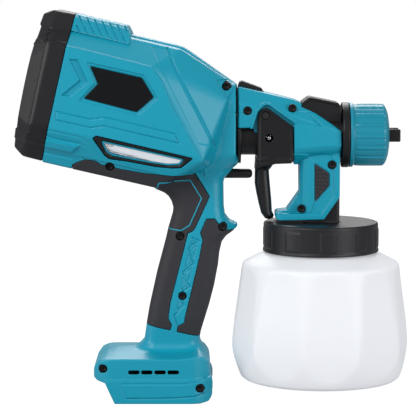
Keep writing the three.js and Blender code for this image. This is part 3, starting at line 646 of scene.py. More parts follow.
chevron = [L(4, 24.6), L(10.3, 25.7), L(21.7, 10.7), L(10.5, -2.6), L(4.1, -3.4), L(15.4, 11.2)]
strip = [L(2.7, -16), L(29.2, -16), L(39.1, -12.2), L(93.4, -12.4), L(98.3, -18.6), L(40.5, -18.4), L(30.6, -22.2), L(4.1, -22.2)]
panel = [L(-6, 34.3), L(25.5, 34.1), L(41.2, 33.6), L(65.7, 33.1), L(76.3, 23.6), L(86.7, 8.3), L(121, -30), L(121, -46), L(-6, -46)]
lowBlock = [L(-4, -36.7), L(25.8, -35.9), L(28, -38.8), L(22.9, -43.5), L(-4, -46.6)]
frontLine = [L(73.6, 48.1), L(76.9, 43.5), L(88, 29), L(98.7, 16.1), L(109.3, 3.8), L(125.4, -15.8)]
badgeRecess = [L(17.6, 25.4), L(61.2, 25.6), L(75, 11), L(63.4, -5.2), L(17.8, -4.2), L(26.4, 11.2)]
# ------------------------------------------------------------------ housing
barrelPts = mir([
    (*L(-6, 49.9), 30), (*L(-6, 34), 50), (*L(-6, -29), 50), (*L(-6, -57.3), 33),
    (*L(84, 49.9), 28), (*L(66, 33.5), 50), (*L(119, -27), 48.5), (*L(89.6, -57.3), 31),
    (*L(131, 32.3), 15), (*L(127, 21), 30), (*L(127.5, -16), 33), (*L(125.5, -31), 31),
])
barrel = Hull(barrelPts, 0.8)


def inset_pts(t, rear):
    return mir([
        (*L(rear, 51.5 - t), 30 - t * 0.6), (*L(rear, 34 - t * 0.4), 50 - t), (*L(rear, -29 + t * 0.3), 50 - t),
        (*L(rear, -57.3 + t), 33 - t * 0.7), (*L(85 - t * 0.3, 51.5 - t), 28 - t * 0.6),
        (*L(66 - t * 0.4, 33.5 - t * 0.4), 50 - t), (*L(119 - t, -27 + t * 0.3), 48.5 - t),
        (*L(89.6 - t, -57.3 + t), 31 - t * 0.7), (*L(131 - t, 32.3 - t * 1.2), 15 - t * 0.4),
        (*L(127 - t, 21 - t), 30 - t), (*L(127.5 - t, -16 + t * 0.5), 33 - t), (*L(125.5 - t, -31 + t), 31 - t),
    ])


barrelIn = Hull(inset_pts(2.6, -8), 0.8)
topPad = Hull(mir([(*L(-6, 58), 24), (*L(-6, 55.6), 28.5), (*L(-6, 45), 38), (*L(40.6, 55.6), 27), (*L(39.8, 58), 23), (*L(44.2, 52.3), 29), (*L(45.8, 44.5), 37)]), 0.4)
spine = Hull(mir([(*L(20, 51.6), 11), (*L(20, 46), 12.5), (*L(85, 51.6), 11), (*L(85, 46), 12.5), (*L(131, 32.9), 9), (*L(131, 28), 10)]), 0.9)
neck = Hull(mir([
    (22.3, 243.4, 15), (22.3, 232, 25.5), (22.3, 190, 25.5), (22.3, 183.2, 19),
    (-8, 243.4, 15), (-8, 232, 26), (-8, 188, 28), (-2, 176, 20),
]), 0.8)
footProfile = [
    (-88.8, 19), (-88.8, 24.5), (-87.5, 28.6), (-84.0, 32.9), (-78.6, 36.2), (-71.4, 38.5), (-62.5, 39.6), (-50, 39.9),
    (-7, 39.6), (-2.6, 35.4), (0.8, 31.1), (1.8, 24.7), (2.0, 15.0), (-78, 15.0), (-80.3, 16), (-85.6, 17.2),
]
railProfile = [(-79.2, 16.2), (-78.8, 15.2), (-71.8, 0), (-6.0, 0), (0.6, 1.0), (2.6, 3.4), (3.9, 6.4), (3.9, 15.4), (2.2, 19.6), (-8, 18.8), (-20, 18.4), (-79.2, 18.4)]


def plan(x, ay, x0, x1, w, r0, r1):
    """Rounded rectangle in plan with its own radius at each end."""
    c, h = (x0 + x1) / 2, (x1 - x0) / 2
    R = np.where(x > c, f32(r1), f32(r0))
    qx, qy = np.abs(x - c) - h + R, ay - w + R
    return np.sqrt(np.maximum(qx, 0) ** 2 + np.maximum(qy, 0) ** 2) + np.minimum(np.maximum(qx, qy), 0) - R


def foot(x, y, z):
    ay = np.abs(y)
    crown = (z - 34.6 - (37.8 - ay) * 0.14 - 1.6 * sstep(x, -26, -6)) * 0.985
    up = smax(smax(footF(x, z), crown, 3.4), plan(x, ay, -88.8, 2.0, 37.8, 15, 17), 1.4)
    lo = smax(railF(x, z), plan(x, ay, -80, 3.9, 39.0, 3, 18), 0.9)
    return smin(up, lo, 0.8)


RZ = np.array([30, 38, 41, 44.6, 55, 57.4, 71.7, 97, 123.8, 130.9, 144.3, 149, 153.7, 157.6, 160.3, 163.1, 168, 176, 190])
RX = np.array([-52.3, -52.2, -51.9, -49.9, -48.3, -48, -45.5, -39.9, -32.8, -31.2, -27.3, -26.8, -28.1, -30.4, -33.5, -39.7, -44, -52, -60])
FZ = np.array([30, 39.1, 42.2, 45.4, 51, 60.5, 73.2, 88.3, 104.9, 114.4, 122.3, 127, 129.3, 131.2, 132.5, 134.2, 135.8, 137.2, 138.8, 142.7, 149.8, 168.6, 171.7, 178, 190])
FX = np.array([-4.6, -5.5, -6.3, -6.4, -5.9, -3.1, 0.8, 4.7, 7.8, 8.8, 10.6, 14.1, 17.6, 20.3, 21.9, 23, 22.8, 20, 16.4, 13.3, 12.3, 12, 12.8, 18, 26])


def grip(x, y, z, t=0.0):
    xr = np.interp(z, RZ, RX).astype(f32) + t
    xf = np.interp(z, FZ, FX).astype(f32) - t
    c, a = (xr + xf) * 0.5, (xf - xr) * 0.5
    # the finger spur is narrower than the handle
    wid = 18.0 - t - 5.0 * np.exp(-(((z - 135) / 6) ** 2)) * sstep(x, 10, 20) - 1.6 * sstep(z, 66, 44)
    R = np.minimum(10.0, a - 0.5)
    qx, qy = np.abs(x - c) - a + R, np.abs(y) - wid + R
    d = np.sqrt(np.maximum(qx, 0) ** 2 + np.maximum(qy, 0) ** 2) + np.minimum(np.maximum(qx, qy), 0) - R
    d = d * 0.93
    return np.maximum(np.maximum(d, 33 - z), z - 188)


def outer(x, y, z, rear=0.0):
    f = smin(barrel(x, y, z), np.minimum(topPad(x, y, z), spine(x, y, z)), 0.4)
    f = np.maximum(f, -PQ(x, z)[0] - rear)
    f = smin(f, neck(x, y, z), 3.0)
    f = smin(f, grip(x, y, z), 5.0)
    return smin(f, foot(x, y, z), 7.0)


footF = Field(9.0).put_sd(footProfile, 11)
railF = Field(9.0).put_sd(railProfile, 11)
depth = Field(0.0)
depth.recess(panel, -1.15, soft=0.4)
depth.recess(badgeRecess, 1.0, soft=0.35)
depth.recess(badge, 0.55, soft=0.35, grow=0.25)
depth.recess(chevron, 1.9, soft=0.45)
depth.recess(strip, -0.3, soft=0.4)
depth.groove(strip, 0.85, 0.95, closed=True)
depth.groove(frontLine, 1.2, 1.7)
depth.recess([L(73.6, 48.1), L(76.9, 43.5), L(88, 29), L(98.7, 16.1), L(109.3, 3.8), L(125.4, -15.8), L(112, -16), L(60, 48)], 0.35, soft=1.2)
NECKSTEP = [(6.4, 248.4), (8.2, 244.1), (14.4, 234.1), (15.7, 231.6), (15.1, 226.0), (11.4, 212.3), (9.8, 202.3), (8.9, 196.1), (8.3, 184.0), (8, 176)]
depth.recess(NECKSTEP + [(30, 176), (30, 248.4)], 0.9, soft=0.5)
depth.groove([(15.6, 223.2), (23, 222.8)], 0.4, 0.9)
# stepped wedge low on the barrel, next to the rear cover
depth.groove([L(-4, -31.0), L(25.4, -30.9), L(31, -33.5)], 0.55, 1.2)
depth.recess([L(-4, -38.6), L(26.0, -37.4), L(20.6, -44.8), L(-4, -45.2)], -2.1, soft=1.3)
depth.groove([L(-4, -35.4), L(9.6, -36.4), L(25, -35.9), L(29.2, -37)], 0.5, 1.2)
depth.recess([L(-4, -47.5), L(21.5, -47.2), L(23, -50.2), L(-4, -50.6)], 0.7, soft=0.9)
# facet lines on the nose
depth.groove([L(120.1, 30.8), L(125.1, 25.8), L(127.8, 21), L(128.4, 11.8), L(127.8, -2.4), L(128.7, -16.2), L(130.1, -29.2)], 0.3, 1.2)
# the ribbed grip on top: slanted teeth that run over the top edge
ribs = Field(0.0)
_sl, _gx, _gz = ribs.window([L(1, 60), L(41, 60), L(46.4, 45), L(1, 45)], 2)
_p, _q = PQ(_gx, _gz)
_mask = sstep(_p, 2.6, 3.2) * (1 - sstep(_p + 0.25 * (_q - 45), 43.2, 43.9)) * sstep(_q, 45.4, 46.0)
_u = ((_p + 0.867 * (_q - 46.3) - 0.4) / 5.9) % 1.0
_tooth = 0.55 * (1 - _u) + 0.75 * sstep(np.abs(_u - 0.5), 0.5, 0.36)
ribs.a[_sl] += (_mask * 1.3 * (1.3 - _tooth) * (1 - 0.5 * sstep(_q, 56.2, 57.6))).astype(f32)
# foot: two step lines, an engraved slant and the frame of the lower panel
depth.recess([(-66.5, 15.3), (-17.7, 15.3), (-6.2, 17.2), (1.5, 20.9), (12, 22), (12, 8), (1.5, 9.2), (-10, 6.1), (-25.4, 4.9), (-62.5, 4.3)], -0.5, soft=0.35)
depth.groove([(-66.1, 15.7), (-17.7, 15.7), (-6.2, 17.6), (3.5, 21.9)], 0.5, 0.9)
depth.groove([(-63.1, 4.0), (-25.4, 4.6), (-10, 5.8), (3.5, 9.4)], 0.6, 1.0)
depth.groove([(-68.0, 14.6), (-62.9, 4.2)], 0.3, 0.8)
# engraved triangles down the middle of the handle
ZIGZAG = [(-12.4, 126.2), (-7.0, 123.7), (-15.1, 117.8), (-11.2, 106.1), (-19.6, 99.1), (-14.3, 88.1), (-22.5, 82.2), (-18.9, 73.6),
          (-26.4, 65.0), (-24.1, 57.9)]
depth.groove(ZIGZAG, 1.1, 1.15)
for _i in range(1, len(ZIGZAG) - 1):
    _c = np.mean(ZIGZAG[_i - 1:_i + 2], axis=0)
    _t = [tuple(_c + (np.array(v) - _c) * 0.55) for v in ZIGZAG[_i - 1:_i + 2]]
    if _i not in (6, 8):
        depth.groove([_t[0], _t[1], _t[2], _t[0]], 0.8, 0.85)

padsF = Field(6.0).put_sd(rearPad).put_sd(frontPad)
winF = Field(6.0).put_sd(windowO)
lensF = Field(6.0).put_sd(lensO)
badgeF = Field(6.0).put_sd(badge)

SCREWS = [  # x, z, outer face, seat, end
    (13.9, 243.2, -19.5, 3.0), (-74.5, 183.2, -38, 6), (-21.6, 127.5, -18, 3.2), (-19.8, 80.7, -16.3, 2),
    (11.2, 134.8, -18, 3.2), (-80.5, 27.1, -35.6, 4), (-6.3, 12.1, -37.6, 2.6),
]
SCREW_END = [12, 12, 12, 12, 12, 12, -33.4]
VENTS = [(-61.3, -52.5), (-51.4, -42.6), (-41.2, -32.4), (-31.1, -22.3)]


def vents(x, y, z):
    d = None
    for a, b in VENTS:
        qx = np.abs(x - (a + b) / 2) - (b - a) / 2 + 1.5
        qz = np.abs(z - 24.45) - 1.55 + 1.5
        e = np.sqrt(np.maximum(qx, 0) ** 2 + np.maximum(qz, 0) ** 2) - 1.5
        d = e if d is None else np.minimum(d, e)
    return np.maximum(d, 31.5 - np.abs(y))


def boxd(x, y, z, x0, x1, y0, y1, z0, z1):
    return np.maximum(np.maximum(np.maximum(x0 - x, x - x1), np.maximum(y0 - y, y - y1)), np.maximum(z0 - z, z - z1))


def housing(x, y, z, wells):
    f0 = outer(x, y, z, 5.0)
    ay = np.abs(y)
    face = sstep(ay, 8, 13) * np.maximum(sstep(z, 40, 44), 1 - 0.55 * sstep(x, -6, 1.5))
    f = f0 + depth(x, z) * face + ribs(x, z)
    # seats of the overmoulds and windows
    f = np.maximum(f, -np.maximum(padsF(x, z) - 0.28, -(f0 + 2.0)))
    f = np.maximum(f, -np.maximum(winF(x, z) - 0.35, np.maximum(-(f0 + 2.2), 30 - ay)))
    p, q = PQ(x, z)
    f = np.maximum(f, np.where(z > 165, -p, f32(-99)))
    f = np.maximum(f, -np.maximum(barrelIn(x, y, z), p - 34))
    rr = np.sqrt(y * y + (z - AXIS_Z) ** 2)
    f = np.maximum(f, -np.maximum(rr - 19, -12 - x))
    f = np.maximum(f, -boxd(x, y, z, -70, -10, -32.2, 32.2, 3.2, 17.5))
    f = np.maximum(f, -boxd(x, y, z, -11, 20, -24.5, 24.5, 3.2, 17.5))
    f = np.maximum(f, -boxd(x, y, z, -66, -10, -29.5, 29.5, -9, 4))
    f = np.maximum(f, -boxd(x, y, z, -11, 20, -24.5, 24.5, -9, 4))
    f = np.maximum(f, -boxd(x, y, z, -66, -12, -31, 31, 17, 31.5))
    f = np.maximum(f, -vents(x, y, z))
    pr = np.sqrt(y * y + (z - PLUNGER_Z) ** 2)
    f = np.maximum(f, -np.maximum(pr - 4.2, 4 - x))
    if wells:
        for sx, sz, sf, seat in SCREWS:
            d = np.sqrt((x - sx) ** 2 + (z - sz) ** 2)
            f = smax(f, -np.maximum(d - 3.3, y - (sf + seat + 0.2)), 0.5)
    return smax(f, y + 0.15, 0.35)


# faces inside screw wells, vents and the barrel bore, which get the near-black colour as painted shade
def painted_shade_spots(x, y, z):
    well = np.zeros(np.shape(x), bool)
    for sx, sz, sf, seat in SCREWS:
        well |= ((x - sx) ** 2 + (z - sz) ** 2 < 3.9 ** 2) & (y > sf + 0.45) & (y < sf + 9)
    return well | ((vents(x, y, z) < 0.7) & (np.abs(y) < 36.2)) | ((np.sqrt(y * y + (z - AXIS_Z) ** 2) < 19.6) & (x > -13) & (x < 21.5))


HB_LO, HB_HI = (-136, -54.4, -0.2), (23, 0.2, 299)
implicit("left_body_shell", lambda x, y, z: housing(x, y, z, True), HB_LO, HB_HI, 0.72, "housing",
         [TEAL, SHADE_DARK], ["left_housing"], mat_of=painted_shade_spots)
V, Q, N = surface(lambda x, y, z: housing(x, y, z, False), HB_LO, HB_HI, 0.72)
V, Q, N = largest(V, Q, N)
V[:, 1] *= -1
N[:, 1] *= -1
put("right_body_shell", V, Q, "housing", [TEAL, SHADE_DARK], ["right_housing"], N, flip=True, mat_of=painted_shade_spots)


# ------------------------------------------------------------------ soft grips
def pad_shape(field, wells):
    def f(x, y, z):
        f0 = outer(x, y, z)
        d = smax(field(x, z), f0 - 0.12, 0.9)
        d = np.maximum(d, -(f0 + 1.7))
        if wells:
            for sx, sz, sf, seat in SCREWS[1:5]:
                r = np.sqrt((x - sx) ** 2 + (z - sz) ** 2)
                d = np.maximum(d, -np.maximum(r - 3.35, y - (sf + 12)))
        return smax(d, y + 0.15, 0.3)
    return f


rearF = Field(6.0).put_sd(rearPad)
frontF = Field(6.0).put_sd(frontPad)
for nm, fld, lo, hi in [
    ("rear_grip", rearF, (-106, -42, 53), (2, 0.2, 190)),
    ("front_grip", frontF, (-26, -19, 45), (24, 0.2, 142)),
]:
    implicit("left_" + nm + "_pad", pad_shape(fld, True), lo, hi, 0.62, "housing", RUBBER, ["left_" + nm])
    V, Q, N = surface(pad_shape(fld, False), lo, hi, 0.62)
    V, Q, N = largest(V, Q, N)
    V[:, 1] *= -1
    N[:, 1] *= -1
    put("right_" + nm + "_pad", V, Q, "housing", RUBBER, ["right_" + nm], N, flip=True)


def side_y(f, xs, zs, lo=-60.0, hi=-1.0):
    """Where the -Y side of a shape is, at each (x, z)."""
    xs, zs = np.array(xs, f32), np.array(zs, f32)
    a, b = np.full(xs.shape, lo, f32), np.full(xs.shape, hi, f32)
    for _ in range(26):
        m = (a + b) / 2
        out = f(xs, m, zs) > 0
        a, b = np.where(out, m, a), np.where(out, b, m)
    return (a + b) / 2


def resample(pts, step):
    out = []
    for (ax, az), (bx, bz) in zip(pts[:-1], pts[1:]):
        n = max(1, int(math.hypot(bx - ax, bz - az) / step))
        out += [(ax + (bx - ax) * i / n, az + (bz - az) * i / n) for i in range(n)]
    return out + [pts[-1]]


def ribbon(name, pts, width, proud, deep, f, mat, body, sign):
    """A thin raised line that follows the surface."""
    pts = resample(pts, 0.6)
    P = np.array(pts)
    T = np.zeros_like(P)
    T[1:-1] = P[2:] - P[:-2]
    T[0], T[-1] = P[1] - P[0], P[-1] - P[-2]
    T /= np.linalg.norm(T, axis=1, keepdims=True)
    Nn = np.stack([-T[:, 1], T[:, 0]], 1)
    A, Bp = P + Nn * width / 2, P - Nn * width / 2
    A2, B2 = P + Nn * width * 0.36, P - Nn * width * 0.36
    V, F = [], []
    for q, off in ((A, -deep), (A, proud * 0.4), (A2, proud), (B2, proud), (Bp, proud * 0.4), (Bp, -deep)):
        y = side_y(lambda a, b, c: f(a, b, c) - off, q[:, 0], q[:, 1])
        V += [(q[i, 0], y[i] * sign, q[i, 1]) for i in range(len(q))]
    n = len(P)
    for r in range(6):
        a, b = r * n, ((r + 1) % 6) * n
        for i in range(n - 1):
            F.append((a + i, a + i + 1, b + i + 1, b + i))
    F.append(tuple(r * n for r in range(6)))
    F.append(tuple(r * n + n - 1 for r in range(6))[::-1])
    ob = put(name, V, F, body, mat)
    fix_normals(ob)
    return ob


for side, sg in (("left", 1), ("right", -1)):
    ribbon(side + "_grip_line", inlayLine[:], 0.95, 0.5, 0.8, outer, TEAL, "housing", sg)


# ------------------------------------------------------------------ windows and badges
def frame_shape(x, y, z):
    f0 = outer(x, y, z)
    lens = lensF(x, z)
    top = f0 - 0.35 + 1.0 * sstep(lens, 2.4, 0.9)
    d = smax(smax(winF(x, z), top, 0.7), -(lens - 1.0), 0.4)
    return np.maximum(d, -(f0 + 1.9))


def rim_shape(x, y, z):
    f0 = outer(x, y, z)
    lens = lensF(x, z)
    d = smax(smax(lens - 0.95, f0 + 0.1, 0.3), -(lens + 0.05), 0.3)
    return np.maximum(d, -(f0 + 1.9))


def lens_shape(x, y, z):
    f0 = outer(x, y, z)
    p, q = PQ(x, z)
    t = (q + 0.055 * (p - 40) + 36.6)
    ribs = 0.35 * (1 - sstep(np.abs((t * 0.62) % 1.0 - 0.5), 0.10, 0.22)) * (1 - sstep(t, 1.6, 2.6))
    top = f0 + 1.0 + ribs + 0.32 * np.maximum(2.6 - t, 0)
    return np.maximum(smax(lensF(x, z) + 0.25, top, 0.4), -(f0 + 1.9 + 0.7))


# where the lens gets the grey material: lines near its edge in the lower part, a painted reflection
def painted_reflection_stripes(x, y, z):
    p, q = PQ(x, z)
    d = -lensF(x, z)
    low = (q + 0.055 * (p - 40) + 36.6 < 2.0) | (p < 50.5)
    return low & (((d > 0.55) & (d < 1.0)) | ((d > 1.6) & (d < 2.05)))


wlo, whi = (-88, -51, 180), (-9, -36, 210)
implicit("left_window_bezel", frame_shape, wlo, whi, 0.42, "housing", BLACK, ["left_window_frame"], mirror=("right_window_bezel", ["right_window_frame"]))
implicit("left_window_rim", rim_shape, wlo, whi, 0.42, "housing", TEAL, mirror=("right_window_rim", []))
implicit("left_window_glass", lens_shape, wlo, whi, 0.3, "housing", [LENS, LENS_REFLECTION_LINE], ["left_window_lens"],
         mirror=("right_window_glass", ["right_window_lens"]), mat_of=painted_reflection_stripes)


def badge_shape(x, y, z):
    return smax(badgeF(x, z) + 0.15, np.abs(y + 50.0) - 0.42, 0.35)


implicit("left_badge_plate", badge_shape, (-94, -51, 222), (-38, -49, 262), 0.42, "housing", BLACK_GLOSS, ["left_badge"], mirror=("right_badge_plate", ["right_badge"]))

# ------------------------------------------------------------------ rear cover
coverH = Hull(mir([
    (*L(1, 51.5), 30), (*L(1, 34), 50), (*L(1, -29), 50), (*L(1, -57.3), 33), (*L(1, 58), 26), (*L(1, 45), 38),
    (*L(-16.6, 57.6), 26), (*L(-15, 36), 50), (*L(-15, -31), 50), (*L(-16, -57), 32),
    (*L(-24.2, 52.6), 23), (*L(-26, 31), 39), (*L(-26.8, 18), 40), (*L(-26.2, -27), 40), (*L(-24.3, -51.6), 28),
]), 0.8)
coverIn = Hull(mir([
    (*L(5, 49.1), 28.6), (*L(5, 33), 47.6), (*L(5, -28.3), 47.6), (*L(5, -54.9), 31.3),
    (*L(-16.6, 55.2), 24.6), (*L(-15, 35), 47.6), (*L(-15, -30.3), 47.6), (*L(-16, -54.6), 30.3),
    (*L(-21.6, 50.2), 21.6), (*L(-23.4, 30), 36.6), (*L(-24.2, 17), 37.6), (*L(-23.6, -26.3), 37.6), (*L(-21.8, -49.2), 26.3),
]), 0.6)


def cover(x, y, z):
    p, q = PQ(x, z)
    ay = np.abs(y)
    f = coverH(x, y, z)
    # the middle of the rear end is set back between two end blocks
    mid = sstep(q, -36.5, -35.5) * (1 - sstep(q, 42.8, 44.2))
    f = f + 0.9 * mid * sstep(p, -12.0, -16.0)
    up = sstep(q, 43.4, 44.8)
    f = f + 0.5 * (1 - up) * sstep(q, 33.0, 34.0) * sstep(ay, 20, 26)
    # light shoulder edge and the low step beside the barrel
    sh = q - 33.4 - 0.12 * (p + 16) * (p > -16) + 0.45 * np.maximum(-16.5 - p, 0)
    f = f - 0.55 * np.exp(-((sh / 0.8) ** 2)) * sstep(ay, 20, 30)
    f = f + 0.6 * (1 - sstep(q, -44.4, -43.0)) * sstep(ay, 16, 24)
    f = f - 0.35 * np.exp(-(((q + 43.4) / 0.7) ** 2)) * sstep(ay, 20, 30)
    f = smax(f, p + 0.3, 0.5)
    f = np.maximum(f, -coverIn(x, y, z))
    # air slots in the rear face
    slot = np.abs((y + 3.6) % 7.2 - 3.6) - 1.55
    lim = np.abs(q + 3) - (31 - 0.2 * ay)
    s = np.maximum(np.maximum(slot, lim), np.maximum(ay - 23.4, p + 20))
    return smax(f, -s, 0.6)


implicit("rear_air_cover", cover, (-157, -50.5, 184), (-101, 50.5, 302), 0.85, "rear_cover", COVER, ["rear_cover"])

# ------------------------------------------------------------------ spray head
headO = [
    (22.8, 243.2), (43, 238.6), (66, 233.2), (70.6, 231.3), (102.6, 209), (103.1, 186.3), (101.4, 182),
    (66.4, 182), (66.3, 184.2), (65.9, 215.2), (47.5, 228.4), (44.3, 229.3), (41.1, 227.7),
    (38, 223.8), (35, 214.7), (33.5, 211.6), (22.8, 211.3),
]
postO = [
    (70.4, 192), (70.7, 160.9), (60.9, 147), (54, 146.2), (52.1, 144.6), (52.1, 141.2), (54.8, 139.4),
    (89.5, 140.2), (101.7, 157.8), (101.6, 192),
]
trunO = [(34, 212), (38, 226), (44, 231), (66, 218), (66.2, 208), (56, 207.5), (36, 207.5)]
inlayO = [(82.3, 183.6), (91.9, 177.4), (93.1, 175.7), (93.1, 166.4), (82.5, 154.2)]
recessEdge = [(33.5, 211.6), (35, 214.7), (38, 223.8), (41.1, 227.7), (44.3, 229.3), (47.5, 228.4), (65.9, 215.2)]
headF = Field(6.0).put_sd(headO, 7)
postF = Field(6.0).put_sd(postO, 7)
trunF = Field(6.0).put_sd(trunO, 7)
inlayF = Field(6.0).put_sd(inlayO, 7)
headH = Hull(mir([
    (22.8, 243.4, 14), (22.8, 231, 24), (22.8, 190, 24), (22.8, 181, 12),
    (66, 233.4, 13), (66, 221, 24), (66, 197.5, 23), (66, 182, 8), (103.2, 209.2, 21.5), (103.2, 197.5, 22.5),
    (103.2, 182, 9), (70.6, 231.5, 13),
]), 1.3)
gdepth = Field(0.0)
gdepth.ridge([(33.0, 210.4), (34.2, 215.0), (37.0, 224.2), (40.6, 228.6), (44.2, 230.3), (47.9, 229.3), (66.9, 215.6)], 0.8, 2.1)
gdepth.groove([(22, 222.7), (31.5, 222.4)], 0.35, 0.9)
# flank facets behind the nozzle: a wedge that leans inwards and a pressed double line
_tri = [(56.7, 223.4), (74.2, 223.4), (88.4, 211.2), (84.9, 212.8), (66.1, 216.0)]
_sl, _gx, _gz = gdepth.window(_tri, 3)
_in = 1 - sstep(poly_sd(_tri, _gx, _gz), -0.5, 0.15)
gdepth.a[_sl] += (_in * np.clip(0.25 + (223.4 - _gz) * 0.13, 0, 1.3)).astype(f32)
gdepth.groove([(76.7, 222.5), (90.1, 211.4)], 0.5, 0.9)
gdepth.groove([(68, 223.6), (80.6, 223.2)], 0.3, 0.8)
# bracket: the web is set back inside a frame, the pillar stands proud
gdepth.recess([(58, 145.0), (86.8, 144.5), (97.0, 158.2), (96.6, 186.5), (95.0, 190.6), (86.4, 191.6), (80.8, 190.8), (70, 186), (62, 160)], 0.85, soft=0.35)
gdepth.recess([(58, 192), (76, 191), (79.0, 187.9), (82.2, 184.8), (82.2, 153.6), (79.4, 145.6), (58, 145.6)], -0.5, soft=0.35)
gdepth.groove([(96.6, 190.6), (97.0, 158.2), (87.0, 144.6)], 0.5, 0.9)
gdepth.groove([(60, 144.8), (86.8, 144.4)], 0.4, 0.8)
frameLine = [(72.5, 187.4), (75.2, 189.6), (80.8, 191.9), (86.4, 192.7), (95.9, 191.9), (99.8, 191.3)]
GSCREWS = [(30.2, 224.6, -25.1, 3.6), (64.6, 226.6, -22.6, 3.2), (95.6, 182.6, -17.4, 2.4), (71.9, 148.7, -17.4, 2.4)]
GSCREW_END = [14, 14, 15, 12]
TA = math.atan2(243.2 - 238.6, 43 - 22.8)
TNX, TNZ = math.sin(TA), math.cos(TA)


def top_sh(x, z):
    dx, dz = x - 22.8, z - 243.2
    return dx * math.cos(TA) - dz * math.sin(TA), dx * TNX + dz * TNZ


def seam_plate():
    """Thin gasket plate on the rear face of the gun that closes the seam to the neck; its near-black colour is painted
    shade in the seam.
    """
    a0 = math.asin((211.6 - AXIS_Z) / 19.8)
    n = 40
    inner = [(-19.8 * math.cos(a0 + (math.pi - 2 * a0) * i / n), AXIS_Z + 19.8 * math.sin(a0 + (math.pi - 2 * a0) * i / n)) for i in range(n + 1)]
    way = [(-23.0, 211.6), (-23.0, 231.0), (-21.5, 232.6), (21.5, 232.6), (23.0, 231.0), (23.0, 211.6)]
    ln = [0.0]
    for a, b in zip(way, way[1:]):
        ln.append(ln[-1] + math.dist(a, b))
    t = np.linspace(0, ln[-1], n + 1)
    oy, oz = np.interp(t, ln, [w[0] for w in way]), np.interp(t, ln, [w[1] for w in way])
    V, F = [], []
    for x in (22.42, 22.70):
        V += [(x, float(a), float(b)) for a, b in zip(oy, oz)] + [(x, a, b) for a, b in inner]
    m = 2 * (n + 1)
    for i in range(n):
        o0, o1, i0, i1 = i, i + 1, n + 1 + i, n + 2 + i
        F += [(o0, o1, i1, i0), (m + o0, m + i0, m + i1, m + o1), (o0, m + o0, m + o1, o1), (i0, i1, m + i1, m + i0)]
    F += [(0, n + 1, m + n + 1, m), (n, m + n, m + 2 * n + 1, 2 * n + 1)]
    # two ears beside the button's slot
    for sg in (-1, 1):
        ear, b = [(21.2, 232.9), (13.4, 242.0), (9.3, 242.0), (9.3, 232.9)], len(V)
        V += [(22.42, sg * u, w) for u, w in ear] + [(22.70, sg * u, w) for u, w in ear]
        F += [(b, b + 1, b + 2, b + 3), (b + 7, b + 6, b + 5, b + 4)] + [(b + i, b + 4 + i, b + 4 + (i + 1) % 4, b + (i + 1) % 4) for i in range(4)]
    fix_normals(put("seam_plate", V, F, "gun", SHADE_DARK))


def gun_shell(x, y, z, wells):
    ay = np.abs(y)
    head = smax(headF(x, z), headH(x, y, z), 1.2)
    trun = smax(trunF(x, z), ay - 17.5, 0.6)
    # the bracket: a rounded pillar, a flat web and a lip at its foot
    pf = postF(x, z)
    ch = ay - np.interp(x, [69.5, 73.4, 78.1, 104], [11.0, 15.9, 17.5, 17.5]).astype(f32)
    bev = ay - 17.5 + np.maximum(2.2 + pf, 0) * sstep(x, 84, 78) * 0.9
    qa = smax(pf, smax(ch * 0.75, bev, 0.5), 0.8)
    lip = smax(smax(pf, z - 145.2, 0.7), np.maximum(ay - 17.5, 139.3 - z), 1.0)
    lip = smax(lip, plan(x, ay, 52.1, 140, 17.5, 4.5, 1), 0.6)
    f = smin(head, np.minimum(qa, lip), 0.7)
    f = smin(f, trun, 0.4)
    side = sstep(ay, 9, 12.5)
    f = f + gdepth(x, z) * side * (1 - sstep(ay, 25, 26))
    rr = np.sqrt(y * y + (z - AXIS_Z) ** 2)
    f = np.maximum(f, -np.maximum(rr - 15.8, 20 - x))
    f = np.maximum(f, -np.maximum(rr - 17.4, 66 - x))
    f = np.maximum(f, -np.maximum(rr - 22.4, x - 25.8))
    f = np.maximum(f, -boxd(x, y, z, 74.7, 110, -14, 14, 130, 190))
    f = np.maximum(f, -boxd(x, y, z, 71.8, 112, -15.3, 15.3, AXIS_Z, 250))
    s, h = top_sh(x, z)
    f = np.maximum(f, -np.maximum(np.maximum(-3 - s, s - 21), np.maximum(-4 - h, ay - 8.4)))
    f = smax(f, -np.maximum(inlayF(x, z) - 0.3, 15.9 - ay), 0.3)
    if wells:
        for sx, sz, sf, seat in GSCREWS:
            d = np.sqrt((x - sx) ** 2 + (z - sz) ** 2)
            f = smax(f, -np.maximum(d - 3.3, y - (sf + seat + 0.2)), 0.5)
    d = np.sqrt((x - PIVOT[0]) ** 2 + (z - PIVOT[1]) ** 2)
    f = np.maximum(f, -np.maximum(d - 2.3, ay - 18.5))
    f = smax(f, 22.75 - x, 0.4)
    return smax(f, y + 0.15, 0.3)


seam_plate()
glo, ghi = (22, -25.5, 138.5), (104, 0.2, 244)
implicit("left_head_shell", lambda x, y, z: gun_shell(x, y, z, True), glo, ghi, 0.55, "gun", TEAL, ["left_gun_shell"])
V, Q, N = surface(lambda x, y, z: gun_shell(x, y, z, False), glo, ghi, 0.55)
V, Q, N = largest(V, Q, N)
V[:, 1] *= -1
N[:, 1] *= -1
put("right_head_shell", V, Q, "gun", TEAL, ["right_gun_shell"], N, flip=True)


# hexagon-textured inlays in the bracket
def hex_h(x, z, s):
    a = x / s
    b = z / s
    r3 = math.sqrt(3)
    ax_, az_ = (a % 1.0) - 0.5, (b % r3) - r3 / 2
    bx_, bz_ = ((a - 0.5) % 1.0) - 0.5, ((b - r3 / 2) % r3) - r3 / 2
    use = (ax_ ** 2 + az_ ** 2) < (bx_ ** 2 + bz_ ** 2)
    gx, gz = np.where(use, ax_, bx_), np.where(use, az_, bz_)
    gx, gz = np.abs(gx), np.abs(gz)
    return (0.5 - np.maximum(gx, gx * 0.5 + gz * (r3 / 2))) * s


